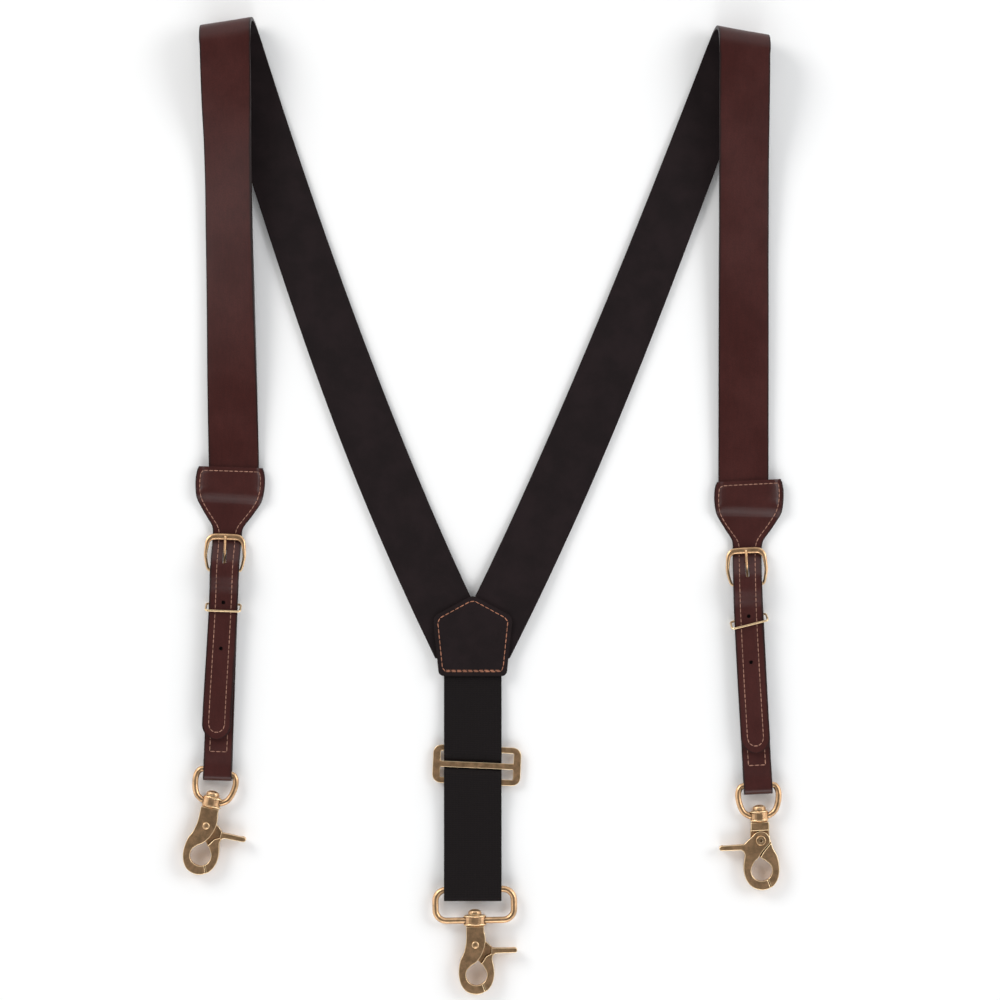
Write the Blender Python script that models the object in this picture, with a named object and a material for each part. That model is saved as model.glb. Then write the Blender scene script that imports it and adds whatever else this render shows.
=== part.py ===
"""Y-back leather suspenders with two buckled front tabs, a rear slider and three swivel trigger snaps.

The pair lies on a table: +X is to the right, +Y runs up towards the shoulders, +Z points away from the
table, and the front straps' brown faces look up. Sizes are in millimetres and become metres when a mesh
is made. The model's origin is the middle of its bounding box, on the table.
"""

import math

import bmesh
import bpy
from mathutils import Matrix, Vector
from mathutils.geometry import interpolate_bezier

MM = 0.001

# --- clearances -----------------------------------------------------------------------------------------
TOUCH_GAP = 0.3            # between pieces that touch
PIN_GAP = 0.15             # round a pin in its hole, and under a rivet's head

# --- leather straps -------------------------------------------------------------------------------------
STRAP_THICK = 2.4
STRAP_FRONT_WIDTH = 30.0   # from the fold to the shield
STRAP_YOKE_WIDTH = 35.0    # where the strap reaches the yoke
FOLD_RADIUS = 10.5         # shoulder fold, to the middle of the leather
FRONT_RUN = 267.5          # shoulder fold to the end inside the shield, on the left
STRAP_STEP = 11.0          # spacing of the stations along a strap

# --- yoke -----------------------------------------------------------------------------------------------
YOKE_X = -5.5              # the yoke's and the elastic's centre line
YOKE_CROTCH_Y = -58.8      # where the straps' inner edges meet
PATCH_THICK = 1.6
PATCH_RISE = 3.6           # patch tip above the crotch
PATCH_SHOULDER_HALF = 23.8
PATCH_SHOULDER_DROP = 13.0
PATCH_BASE_HALF = 20.2
PATCH_LENGTH = 48.2
PATCH_CORNER = 2.4
ELASTIC_TUCK = 10.0        # elastic's end inside the patches

# --- elastic and slider ---------------------------------------------------------------------------------
ELASTIC_WIDTH = 34.5
ELASTIC_THICK = 1.2
SLIDER_DROP = 53.7         # patch's lower edge to the slider's middle bar
SLIDER_LENGTH = 23.0
SLIDER_BAR = 3.6
SLIDER_THICK = 1.8
SLIDER_END = 4.6           # width of its end bars
SLIDER_SIDE_PLAY = 4.6     # elastic's edge to the end bar
SLIDER_SHIFT = 2.4
SLIDER_TURN = -2.6         # degrees
REAR_RING_DROP = 74.3      # slider's middle bar to the rear ring's upper bar
REAR_LOOP_SLACK = 3.6      # elastic's fold hangs below the ring's bar
SEWN_END = 9.0             # elastic's end turned back past the slider's lower bar

# --- front tab ------------------------------------------------------------------------------------------
PLY_THICK = 1.0
SHIELD_MARGIN = 5.7        # shield's edge beyond the strap's edge
SHIELD_TOP = 62.0          # above the heel bar
STRAP_IN_SHIELD = 13.0
TAB_WIDTH = 17.4
TAIL_LENGTH = 101.0        # heel bar to the tail's tip
PRONG_HOLE = 8.5           # where the prong comes through the tab, above the heel bar
PRONG_HOLE_HALF = 4.3
PRONG_LIFT = 0.45          # room for the prong to lift under the tail
TAIL_HOLE_RADIUS = 1.1
TAIL_HOLE_PITCH = 27.6

# --- clip strap, buckle and keeper ----------------------------------------------------------------------
CLIP_STRAP_WIDTH = 17.2
CLIP_STRAP_THICK = 1.3
CLIP_STRAP_LENGTH = 120.5  # heel bar to the ring's upper bar
CLIP_STRAP_JOIN = -66.0    # where its two ends meet under the tail
CLIP_FOLD_SLACK = 2.0      # lets the ring lie askew in its fold
HEEL_RADIUS = 1.2
FRAME_LENGTH = 20.2        # heel bar to the top bar
FRAME_THICK = 2.0
FRAME_TOP_HALF = 12.4
FRAME_TOP_BAR = 4.0
FRAME_SIDE = 1.9
PRONG_RADIUS = 0.8
PRONG_LENGTH = 21.2
PRONG_PLAY = 0.15
KEEPER_RADIUS = 0.7
KEEPER_SIDE_PLAY = 1.0
KEEPER_DROP = 22.2
KEEPER_SLANT = 4.0         # its front bar hangs lower than its back bar

# --- swivel trigger snap --------------------------------------------------------------------------------
RING_HEIGHT = 18.5         # between the ring's bars, wire centre to wire centre
FRONT_RING_WIRE = 1.85
REAR_RING_WIRE = 1.95
FRONT_RING_PLAY = 1.45     # strap's edge to the ring's side
REAR_RING_PLAY = 4.3
FRONT_COLLAR_HALF = 5.3
REAR_COLLAR_HALF = 6.4
COLLAR_DEPTH = 7.8
COLLAR_HEIGHT = 6.8
SNAP_Z = 4.25              # the snaps' middle plane above the table
HOOK_THICK = 6.0
STEM_RADIUS = 1.5
STEM_HEAD_RADIUS = 4.0
STEM_HEAD_HEIGHT = 3.2
COLLAR_TO_PIVOT = 14.6
NECK_HALF = 5.4
PIVOT_RADIUS = 1.5
PIVOT_HEAD_RADIUS = 2.3
PIVOT_FLANGE_RADIUS = 3.0
PIVOT_HEAD_HEIGHT = 0.7
TRIGGER_DISC = 5.5
SPUR_LENGTH = 25.0
EYE_RADIUS = 6.35
EYE_DROP = 18.0            # pivot to the middle of the eye
SPRING_COIL = 2.95
SPRING_WIRE = 0.18
SPRING_POCKET = 4.2
SPRING_POCKET_DEPTH = 1.6

# Each side: where its shoulder fold lies, and how its runs lean (degrees from straight down, towards +X).
# height and roll say how the front run lies, by its share of the run. tab_route gives the tab's centre
# line as (along, across) from the buckle's heel bar.
SIDES = {
    "left": {
        "fold": (-152.6, 288.0), "front_lean": 1.0, "back_lean": 17.4, "yoke_lean": 25.4,
        "extra_run": 0.0, "tab_shift": -2.65, "heel_lean": -1.9, "snap_turn": -10.0, "flipped": False,
        "keeper_turn": 0.0,
        "height": ((0, 22.2), (0.1, 18.5), (0.24, 11.6), (0.42, 8.4), (0.64, 6.2), (0.84, 3.7), (0.95, 2.5)),
        "roll": ((0, 0), (0.1, 6), (0.24, 20), (0.42, 22), (0.64, 15), (0.84, 4.5), (0.95, 0)),
        "tab_route": ((-101, -1.5), (-30, 0), (10, 0.6), (40, 1.4), (62, 1.8)),
    },
    "right": {
        "fold": (155.8, 282.4), "front_lean": 0.0, "back_lean": -21.0, "yoke_lean": -26.3,
        "extra_run": 2.5, "tab_shift": 3.2, "heel_lean": 2.9, "snap_turn": 0.0, "flipped": True,
        "keeper_turn": 11.0,
        "height": ((0, 22.2), (0.1, 18.5), (0.24, 11.2), (0.42, 6.8), (0.64, 4.4), (0.84, 2.9), (0.95, 2.5)),
        "roll": ((0, 0), (0.1, -3), (0.24, -8), (0.42, -8), (0.64, -4), (0.84, -1), (0.95, 0)),
        "tab_route": ((-101, -0.1), (-50, -0.5), (0, -0.3), (19, 0.8), (40, 2.4), (62, 3.9)),
    },
}

COLOURS = {
    "leather": ((0.055, 0.018, 0.015), 0.45, 0.0),
    "leather_inside": ((0.018, 0.012, 0.013), 0.6, 0.0),
    "elastic": ((0.012, 0.011, 0.012), 0.8, 0.0),
    "brass": ((0.42, 0.29, 0.13), 0.32, 1.0),
    "steel": ((0.55, 0.55, 0.55), 0.35, 1.0),
}


# === tools ===============================================================================================

def material(kind):
    """The Principled material of one kind, made once."""
    found = bpy.data.materials.get(kind)
    if found:
        return found
    colour, roughness, metallic = COLOURS[kind]
    made = bpy.data.materials.new(kind)
    made.use_nodes = True
    shader = made.node_tree.nodes["Principled BSDF"]
    shader.inputs["Base Color"].default_value = (*colour, 1.0)
    shader.inputs["Roughness"].default_value = roughness
    shader.inputs["Metallic"].default_value = metallic
    return made


def finish(name, bm, kind, parent=None):
    """Turn a bmesh in millimetres into a named object in metres, under its parent."""
    bmesh.ops.recalc_face_normals(bm, faces=bm.faces)
    bmesh.ops.scale(bm, vec=(MM, MM, MM), verts=bm.verts)
    mesh = bpy.data.meshes.new(name)
    bm.to_mesh(mesh)
    bm.free()
    mesh.shade_smooth()
    mesh.set_sharp_from_angle(angle=math.radians(35))
    made = bpy.data.objects.new(name, mesh)
    made.data.materials.append(material(kind))
    bpy.context.scene.collection.objects.link(made)
    made.parent = parent
    return made


def empty(name, parent=None, at=(0, 0, 0), turn=0.0, flipped=False):
    """A frame to build in: at a place in its parent, turned about Z, or turned over about Y."""
    made = bpy.data.objects.new(name, None)
    made.empty_display_size = 0.01
    bpy.context.scene.collection.objects.link(made)
    made.parent = parent
    made.location = Vector(at) * MM
    made.rotation_euler = (0, math.pi if flipped else 0, math.radians(turn))
    return made


def combine(target, operand, operation):
    """Join or cut target with operand, which is used up."""
    operand.parent = target.parent
    bpy.context.view_layer.update()
    change = target.modifiers.new(operation, "BOOLEAN")
    change.operation = operation
    change.solver = "EXACT"
    change.object = operand
    graph = bpy.context.evaluated_depsgraph_get()
    mesh = bpy.data.meshes.new_from_object(target.evaluated_get(graph))
    target.modifiers.clear()
    target.data = mesh
    bpy.data.objects.remove(operand)


def skin(rings, closed=False):
    """A closed solid over a row of rings that have the same number of points."""
    bm = bmesh.new()
    made = [[bm.verts.new(point) for point in ring] for ring in rings]
    count = len(made[0])
    pairs = list(zip(made, made[1:]))
    if closed:
        pairs.append((made[-1], made[0]))
    for low, high in pairs:
        for i in range(count):
            j = (i + 1) % count
            bm.faces.new((low[i], low[j], high[j], high[i]))
    if not closed:
        bm.faces.new(made[0])
        bm.faces.new(made[-1])
    return bm


def prism(outline, low, high):
    """An outline in X and Y, raised from low to high in Z."""
    return skin([[(x, y, z) for x, y in outline] for z in (low, high)])


def turned(profile, segments=20, along_y=False):
    """A (radius, height) profile turned about Z, or about Y; a radius of 0 closes it."""
    bm = bmesh.new()
    verts = [bm.verts.new((radius, 0, height)) for radius, height in profile]
    edges = [bm.edges.new(pair) for pair in zip(verts, verts[1:])]
    bmesh.ops.spin(bm, geom=verts + edges, cent=(0, 0, 0), axis=(0, 0, 1), angle=math.tau,
                   steps=segments, use_merge=True)
    bmesh.ops.remove_doubles(bm, verts=bm.verts, dist=0.0005)
    if along_y:
        bmesh.ops.rotate(bm, verts=bm.verts, matrix=Matrix.Rotation(-math.pi / 2, 3, "X"))
    return bm


def pin(radius, low, high, segments=20, along_y=False):
    """A plain round bar from low to high."""
    return turned(((0, low), (radius, low), (radius, high), (0, high)), segments, along_y)


def smooth(points, per_span=6):
    """A smooth curve through points, 2-D or 3-D, with per_span steps between each two."""
    nodes = [Vector(point) for point in points]
    ahead = nodes[1:] + [nodes[-1]]
    behind = [nodes[0]] + nodes[:-1]
    slopes = [(b - a) / 2 for a, b in zip(behind, ahead)]
    slopes[0] = nodes[1] - nodes[0]
    slopes[-1] = nodes[-1] - nodes[-2]
    curve = []
    for i in range(len(nodes) - 1):
        span = interpolate_bezier(nodes[i], nodes[i] + slopes[i] / 3,
                                  nodes[i + 1] - slopes[i + 1] / 3, nodes[i + 1], per_span + 1)
        curve += span[:-1]
    return curve + [nodes[-1]]


def arc(centre, radius, start, stop, steps):
    """Points on a circle, angles in degrees."""
    angles = [math.radians(start + (stop - start) * i / steps) for i in range(steps + 1)]
    return [Vector((centre[0] + radius * math.cos(a), centre[1] + radius * math.sin(a))) for a in angles]


def graded(table, at):
    """Smooth value at a place in a ((place, value), ...) table sorted by place, flat beyond its ends."""
    if at <= table[0][0]:
        return table[0][1]
    if at >= table[-1][0]:
        return table[-1][1]
    i = max(k for k, (place, _) in enumerate(table) if place <= at)
    before, start, stop, after = table[max(i - 1, 0)], table[i], table[i + 1], table[min(i + 2, len(table) - 1)]
    span = stop[0] - start[0]
    share = (at - start[0]) / span
    rise_in = (stop[1] - before[1]) / (stop[0] - before[0]) * span if i else 0.0
    rise_out = (after[1] - start[1]) / (after[0] - start[0]) * span if after is not stop else 0.0
    keep = share * share * (3 - 2 * share)
    bend = share * (1 - share)
    return start[1] + (stop[1] - start[1]) * keep + bend * ((1 - share) * rise_in - share * rise_out)


def ribbon(centres, normals, halves, thick):
    """A strap of rectangular section along centres, its face turned to normals."""
    rings = []
    for i, (centre, normal, half) in enumerate(zip(centres, normals, halves)):
        ahead = centres[min(i + 1, len(centres) - 1)] - centres[max(i - 1, 0)]
        across = ahead.cross(normal).normalized()
        face = across.cross(ahead).normalized()
        side = across * half
        lift = face * (thick / 2)
        rings.append([centre - side - lift, centre + side - lift, centre + side + lift, centre - side + lift])
    return skin(rings)


def side_ribbon(route, across, half, thick, offset=0.0):
    """A strap seen from the side: route gives (along, height), across and half give its plan shape."""
    rings = []
    for i, point in enumerate(route):
        ahead = route[min(i + 1, len(route) - 1)] - route[max(i - 1, 0)]
        up = Vector((0, -ahead.y, ahead.x)).normalized()
        centre = Vector((across(point.x), point.x, point.y)) + up * offset
        side = Vector((1, across(point.x - 0.5) - across(point.x + 0.5), 0)).normalized() * half(point.x)
        lift = up * (thick / 2)
        rings.append([centre - side - lift, centre + side - lift, centre + side + lift, centre - side + lift])
    return skin(rings)


def loop_wire(route, normal, wides, highs, sides=10):
    """A closed bar along a flat route: its section is wide in the route's plane and high along normal."""
    rings = []
    for i, point in enumerate(route):
        ahead = route[(i + 1) % len(route)] - route[i - 1]
        out = ahead.cross(normal).normalized()
        rings.append([point + out * (wides[i] * math.cos(math.tau * k / sides))
                      + normal * (highs[i] * math.sin(math.tau * k / sides)) for k in range(sides)])
    return skin(rings, closed=True)


def wire(route, radius, normal, sides=8):
    """An open round wire along a route that stays near the plane across normal."""
    rings = []
    for i, point in enumerate(route):
        ahead = route[min(i + 1, len(route) - 1)] - route[max(i - 1, 0)]
        out = ahead.cross(normal).normalized()
        up = out.cross(ahead).normalized()
        rings.append([point + out * (radius * math.cos(math.tau * k / sides))
                      + up * (radius * math.sin(math.tau * k / sides)) for k in range(sides)])
    return skin(rings)


def mirrored(half):
    """A closed route from its right half, which runs from the lower middle to the upper middle."""
    return half + [Vector((-p.x, p.y)) for p in reversed(half[1:-1])]


# === the straps ==========================================================================================

STRAP_LAYER = PATCH_THICK + TOUCH_GAP + STRAP_THICK / 2     # middle of the leather inside the yoke
SHIELD_STRAP_Z = PLY_THICK + TOUCH_GAP + STRAP_THICK / 2    # middle of the leather inside the shield
PATCH_TIP_Y = YOKE_CROTCH_Y + PATCH_RISE
PATCH_BASE_Y = PATCH_TIP_Y - PATCH_LENGTH
ELASTIC_TOP_Y = PATCH_BASE_Y + ELASTIC_TUCK


def heading(lean):
    """Plan direction of a run that goes down the table with a lean towards +X."""
    angle = math.radians(lean)
    return Vector((math.sin(angle), -math.cos(angle), 0))


def fold_stations(side):
    """Centre line and normals round the shoulder fold, from the back run below to the front run above."""
    slant = math.radians((side["front_lean"] + side["back_lean"]) / 2)
    drift = math.tan(math.radians(side["front_lean"] - side["back_lean"]) / 2)
    along = Vector((math.cos(slant), math.sin(slant), 0))
    outward = Vector((-math.sin(slant), math.cos(slant), 0))
    edge = Vector((*side["fold"], 0))
    core = edge - outward * (FOLD_RADIUS + STRAP_THICK / 2) + Vector((0, 0, FOLD_RADIUS + STRAP_THICK / 2))
    stations = []
    for i in range(17):
        angle = math.pi * (i / 16 - 0.5)
        radial = outward * math.cos(angle) + Vector((0, 0, math.sin(angle)))
        stations.append((core + radial * FOLD_RADIUS + along * (FOLD_RADIUS * drift * angle), radial))
    return stations


def back_run(side, fold_start):
    """Centre line from the yoke up to the fold, as one smooth bend lying on the table."""
    down = heading(side["yoke_lean"])
    inward = 1 if side["yoke_lean"] > 0 else -1
    beside = Vector((-down.y, down.x, 0)) * (-inward * STRAP_YOKE_WIDTH / 2)
    gate = Vector((YOKE_X, YOKE_CROTCH_Y, 0)) + beside
    start = gate + down * (STRAP_YOKE_WIDTH * 1.2)
    end = Vector((fold_start.x, fold_start.y, 0))
    reach = (end - gate).length / 3
    bend = interpolate_bezier(gate, gate - down * reach, end + heading(side["back_lean"]) * reach, end,
                              int(3 * reach / STRAP_STEP))
    tail = [start + (gate - start) * i / 5 for i in range(5)]
    return tail + bend


def strap(name, side, parent):
    """One leather strap: back run, shoulder fold and front run down to its end inside the shield."""
    folded = fold_stations(side)
    centres, normals, halves = [], [], []
    run = back_run(side, folded[0][0])[:-1]
    total = sum((b - a).length for a, b in zip(run, run[1:]))
    gone = 0.0
    for i, point in enumerate(run):
        gone += (point - run[i - 1]).length if i else 0.0
        lift = graded(((STRAP_YOKE_WIDTH * 1.35, STRAP_LAYER), (110, STRAP_THICK / 2)), gone)
        centres.append(Vector((point.x, point.y, lift)))
        normals.append(Vector((0, 0, -1)))
        wide = graded(((110, STRAP_YOKE_WIDTH), (total, STRAP_FRONT_WIDTH + 0.8)), gone)
        halves.append(wide / 2)
    for centre, radial in folded:
        centres.append(centre)
        normals.append(radial)
        halves.append(STRAP_FRONT_WIDTH / 2 + 0.3)
    top = folded[-1][0]
    down = heading(side["front_lean"])
    length = FRONT_RUN + side["extra_run"]
    steps = int(length / STRAP_STEP)
    for i in range(1, steps + 1):
        roll = math.radians(graded(side["roll"], i / steps))
        across = Vector((-down.y, down.x, 0))
        centre = Vector((top.x, top.y, 0)) + down * (length * i / steps)
        centre.z = graded(side["height"], i / steps)
        centres.append(centre)
        normals.append(Vector((0, 0, 1)) * math.cos(roll) - across * math.sin(roll))
        halves.append(STRAP_FRONT_WIDTH / 2)
    bm = ribbon(centres, normals, halves, STRAP_THICK)
    inward = 1 if side["yoke_lean"] > 0 else -1
    cuts = (((YOKE_X - inward * TOUCH_GAP / 2, 0, 0), (inward, 0, 0)),
            ((0, ELASTIC_TOP_Y + TOUCH_GAP, 0), (0, -1, 0)))
    for place, way in cuts:
        near_yoke = [f for f in bm.faces if max(v.co.y for v in f.verts) < YOKE_CROTCH_Y + 40]
        geometry = near_yoke + list({e for f in near_yoke for e in f.edges})
        geometry += list({v for f in near_yoke for v in f.verts})
        bmesh.ops.bisect_plane(bm, geom=geometry, plane_co=place, plane_no=way, clear_outer=True)
        rim = [e for e in bm.edges if e.is_boundary]
        bmesh.ops.holes_fill(bm, edges=rim, sides=0)
    return finish(name, bm, "leather", parent)


# === the yoke ============================================================================================

def patch_outline():
    """Five-sided patch with its tip up and its corners rounded."""
    shoulder_y = PATCH_TIP_Y - PATCH_SHOULDER_DROP
    corners = [(0, PATCH_TIP_Y), (-PATCH_SHOULDER_HALF, shoulder_y), (-PATCH_BASE_HALF, PATCH_BASE_Y),
               (PATCH_BASE_HALF, PATCH_BASE_Y), (PATCH_SHOULDER_HALF, shoulder_y)]
    points = []
    for i, corner in enumerate(corners):
        here = Vector((corner[0] + YOKE_X, corner[1]))
        before = Vector((corners[i - 1][0] + YOKE_X, corners[i - 1][1]))
        after = corners[(i + 1) % 5]
        after = Vector((after[0] + YOKE_X, after[1]))
        enter = here + (before - here).normalized() * PATCH_CORNER
        leave = here + (after - here).normalized() * PATCH_CORNER
        points += interpolate_bezier(enter, enter.lerp(here, 0.55), leave.lerp(here, 0.55), leave, 5)
    return points


def yoke(parent):
    """Two patches that hold the straps' ends and the elastic's end between them."""
    outline = patch_outline()
    finish("yoke_patch_outer", prism(outline, 0, PATCH_THICK), "leather", parent)
    top = STRAP_LAYER + STRAP_THICK / 2 + TOUCH_GAP
    finish("yoke_patch_inner", prism(outline, top, top + PATCH_THICK), "leather_inside", parent)


# === elastic and slider ==================================================================================

SLIDER_Y = PATCH_BASE_Y - SLIDER_DROP
SLIDER_LOW = ELASTIC_THICK + 0.1 + TOUCH_GAP
SLIDER_HIGH = SLIDER_LOW + SLIDER_THICK
BAR_PITCH = (SLIDER_LENGTH - SLIDER_BAR) / 2
UNDER_BAR_Z = SLIDER_LOW - TOUCH_GAP - ELASTIC_THICK / 2
OVER_BAR_Z = SLIDER_HIGH + TOUCH_GAP + ELASTIC_THICK / 2
OVER_WRAP_Z = OVER_BAR_Z + ELASTIC_THICK + TOUCH_GAP
RING_Y = -REAR_RING_DROP     # in the slider's frame


def follow_slider(bm):
    """Slant the elastic's cross lines with the slider, where it passes over and under the bars."""
    slope = math.tan(math.radians(SLIDER_TURN))
    for vert in bm.verts:
        away = max(abs(vert.co.y) - SLIDER_LENGTH / 2 - SEWN_END, 0) / SLIDER_LENGTH
        vert.co.y += (vert.co.x - SLIDER_SHIFT) * slope * max(1 - away, 0)
    return bm


def elastic(parent, loop_parent):
    """The upper run, and the loop from the slider round the ring's bar and back to the lower bar."""
    flat = lambda along: 0.0
    half = lambda along: ELASTIC_WIDTH / 2
    top = ELASTIC_TOP_Y - SLIDER_Y
    window = BAR_PITCH / 2
    rise = (OVER_BAR_Z - UNDER_BAR_Z) / 2
    middle = (OVER_BAR_Z + UNDER_BAR_Z) / 2
    upper = smooth(((top, STRAP_LAYER), (top - ELASTIC_TUCK - 8, STRAP_LAYER), (BAR_PITCH + 16, 3.4),
                    (BAR_PITCH + 6, OVER_BAR_Z - 0.1), (BAR_PITCH, OVER_BAR_Z)), 4)[:-1]
    upper += [Vector((window + rise + 0.5, OVER_BAR_Z)), Vector((window + rise - 0.1, OVER_BAR_Z - 0.35)),
              Vector((window, middle)), Vector((window - rise + 0.1, UNDER_BAR_Z + 0.35)),
              Vector((window - rise - 0.5, UNDER_BAR_Z)), Vector((TOUCH_GAP / 2, UNDER_BAR_Z))]
    frame = empty("elastic_upper_frame", parent, (YOKE_X, SLIDER_Y, 0))
    upper = side_ribbon(upper, flat, half, ELASTIC_THICK)
    finish("elastic_upper", follow_slider(upper), "elastic", frame)

    wrap = (SLIDER_THICK + ELASTIC_THICK) / 2 + TOUCH_GAP
    bar_z = SLIDER_LOW + SLIDER_THICK / 2
    reach = SLIDER_BAR / 2 - SLIDER_THICK / 2 + 0.35
    fold = REAR_RING_WIRE + TOUCH_GAP + ELASTIC_THICK / 2
    fold_y = RING_Y - REAR_LOOP_SLACK
    climb = OVER_WRAP_Z - UNDER_BAR_Z
    foot = SLIDER_BAR / 2 + 0.1
    crest = foot + 0.45 + climb * 0.78
    down = [Vector((-TOUCH_GAP / 2, UNDER_BAR_Z)), Vector((-foot, UNDER_BAR_Z)),
            Vector((-foot - 0.45, UNDER_BAR_Z + 0.3)), Vector((-crest, OVER_WRAP_Z - 0.35)),
            Vector((-crest - 0.9, OVER_WRAP_Z))]
    down += smooth(((-BAR_PITCH - 1, OVER_WRAP_Z), (-BAR_PITCH - 6, OVER_WRAP_Z - 0.2),
                    (-BAR_PITCH - 15, OVER_WRAP_Z - 1.6), (-BAR_PITCH - 30, 3.9), (RING_Y + 22, 4.2),
                    (RING_Y + 9, SNAP_Z + fold - 0.5), (RING_Y, SNAP_Z + fold)), 4)
    under = arc((fold_y, SNAP_Z), fold, 90, 270, 10)
    back = smooth(((RING_Y, SNAP_Z - fold), (RING_Y + 9, SNAP_Z - fold + 0.05), (RING_Y + 22, UNDER_BAR_Z),
                   (-BAR_PITCH - 14, UNDER_BAR_Z), (-BAR_PITCH - reach, UNDER_BAR_Z)), 4)
    round_bar = arc((-BAR_PITCH + reach, bar_z), wrap, -90, 90, 8)
    end = [Vector((-BAR_PITCH - reach, bar_z + wrap)), Vector((-BAR_PITCH - 3.2, bar_z + wrap - 0.5)),
           Vector((-BAR_PITCH - SEWN_END, UNDER_BAR_Z + ELASTIC_THICK + TOUCH_GAP + 0.2))]
    route = down + under + back + round_bar + end
    loop_frame = empty("elastic_loop_frame", loop_parent, (YOKE_X, SLIDER_Y, 0))
    loop = side_ribbon(route, flat, half, ELASTIC_THICK)
    finish("elastic_loop", follow_slider(loop), "elastic", loop_frame)


def slider(parent):
    """Flat slider with three bars: one in front of the elastic and two behind it."""
    inner = ELASTIC_WIDTH / 2 + SLIDER_SIDE_PLAY
    outer = inner + SLIDER_END
    half = SLIDER_LENGTH / 2
    corner = 5.0
    edge_rows = [half - corner * (1 - math.cos(math.radians(a))) for a in (0, 22, 42, 58, 74, 90)]
    rows = sorted({-r for r in edge_rows} | set(edge_rows)
                  | {-half + SLIDER_BAR, half - SLIDER_BAR, -SLIDER_BAR / 2, SLIDER_BAR / 2})
    bm = bmesh.new()

    def reach(y):
        over = max(abs(y) - (half - corner), 0)
        return outer - corner + math.sqrt(max(corner ** 2 - over ** 2, 0))

    lines = [[bm.verts.new((x, y, SLIDER_LOW)) for x in (-reach(y), -inner, inner, reach(y))] for y in rows]
    for i in range(len(rows) - 1):
        middle = abs(rows[i] + rows[i + 1]) / 2
        in_bar = middle < SLIDER_BAR / 2 or middle > half - SLIDER_BAR
        for j in (0, 1, 2):
            if j != 1 or in_bar:
                bm.faces.new((lines[i][j], lines[i][j + 1], lines[i + 1][j + 1], lines[i + 1][j]))
    grown = bmesh.ops.extrude_face_region(bm, geom=bm.faces[:])
    raised = [v for v in grown["geom"] if isinstance(v, bmesh.types.BMVert)]
    bmesh.ops.translate(bm, verts=raised, vec=(0, 0, SLIDER_THICK))
    frame = empty("slider_frame", parent, (YOKE_X + SLIDER_SHIFT, SLIDER_Y, 0), SLIDER_TURN)
    finish("slider_rear", bm, "brass", frame)


# === front tabs, clip straps, buckles and keepers ========================================================

TAB_THICK = 2 * PLY_THICK + TOUCH_GAP
PLY_OFFSET = (PLY_THICK + TOUCH_GAP) / 2
CLIP_LOW_Z = 2 * KEEPER_RADIUS + TOUCH_GAP + CLIP_STRAP_THICK / 2     # lower layer above the keeper
CLIP_HIGH_Z = CLIP_LOW_Z + CLIP_STRAP_THICK + TOUCH_GAP
HEEL_FOLD = HEEL_RADIUS + TOUCH_GAP + CLIP_STRAP_THICK / 2
HEEL_Z = CLIP_LOW_Z + HEEL_FOLD
RING_FOLD = FRONT_RING_WIRE + TOUCH_GAP + CLIP_STRAP_THICK / 2
TAIL_Z = CLIP_HIGH_Z + CLIP_STRAP_THICK / 2 + TOUCH_GAP + TAB_THICK / 2
TAIL_TOP_Z = HEEL_Z + HEEL_FOLD + CLIP_STRAP_THICK / 2 + TOUCH_GAP + TAB_THICK / 2 + PRONG_LIFT
NECK_Z = TAB_THICK / 2
FRAME_TOP_Z = TAB_THICK + TOUCH_GAP + FRAME_THICK / 2
PRONG_EYE = HEEL_RADIUS + PRONG_PLAY + PRONG_RADIUS


def shield_half(along):
    """Half width of the tab: shield shoulders, waist, neck and rounded tail."""
    wide = STRAP_FRONT_WIDTH / 2 + SHIELD_MARGIN
    narrow = TAB_WIDTH / 2
    table = ((-TAIL_LENGTH, 0.0), (22, 0.0), (26, 0.05), (29, 0.2), (34, 0.48), (39, 0.74), (43, 0.9),
             (48, 0.98), (52, 1.0), (56, 0.99), (60, 0.93), (SHIELD_TOP, 0.86))
    half = narrow + (wide - narrow) * graded(table, along)
    to_tip = along + TAIL_LENGTH
    if to_tip < narrow:
        half *= math.sqrt(max(1 - (1 - to_tip / narrow) ** 2, 0.0))
    return max(half, 1.2)


def tab_route(over_strap):
    """Side view of the tab from its top down to the tail's tip, as (along, height)."""
    strap_end = SHIELD_TOP - STRAP_IN_SHIELD
    start = NECK_Z
    if over_strap:
        start = NECK_Z + STRAP_THICK + TOUCH_GAP
    shield = [(SHIELD_TOP, start), (60, start), (58, start), (56, start), (54, start), (52, start),
              (strap_end - 0.5, start), (strap_end - 3.5, start * 0.5 + NECK_Z * 0.5),
              (strap_end - 6.5, NECK_Z), (39, NECK_Z), (34, NECK_Z), (31, NECK_Z), (29, NECK_Z)]
    rise = smooth(((26, NECK_Z), (17.8, NECK_Z), (13.9, 2.7), (9.9, 5.5), (6.0, TAIL_TOP_Z - 0.9),
                   (2.2, TAIL_TOP_Z), (-2.5, TAIL_TOP_Z - 0.1), (-8, TAIL_TOP_Z - 1.5),
                   (-13.5, TAIL_Z + 0.2), (-18, TAIL_Z)), 4)
    run = [(-18 - (TAIL_LENGTH - 18 - 9) * i / 6, TAIL_Z) for i in range(1, 7)]
    tip = [(-TAIL_LENGTH + 8.7 * (1 - math.sin(math.radians(a))), TAIL_Z) for a in (10, 25, 40, 55, 70, 82)]
    return [Vector(p) for p in shield] + rise + [Vector(p) for p in run + tip]


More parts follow.
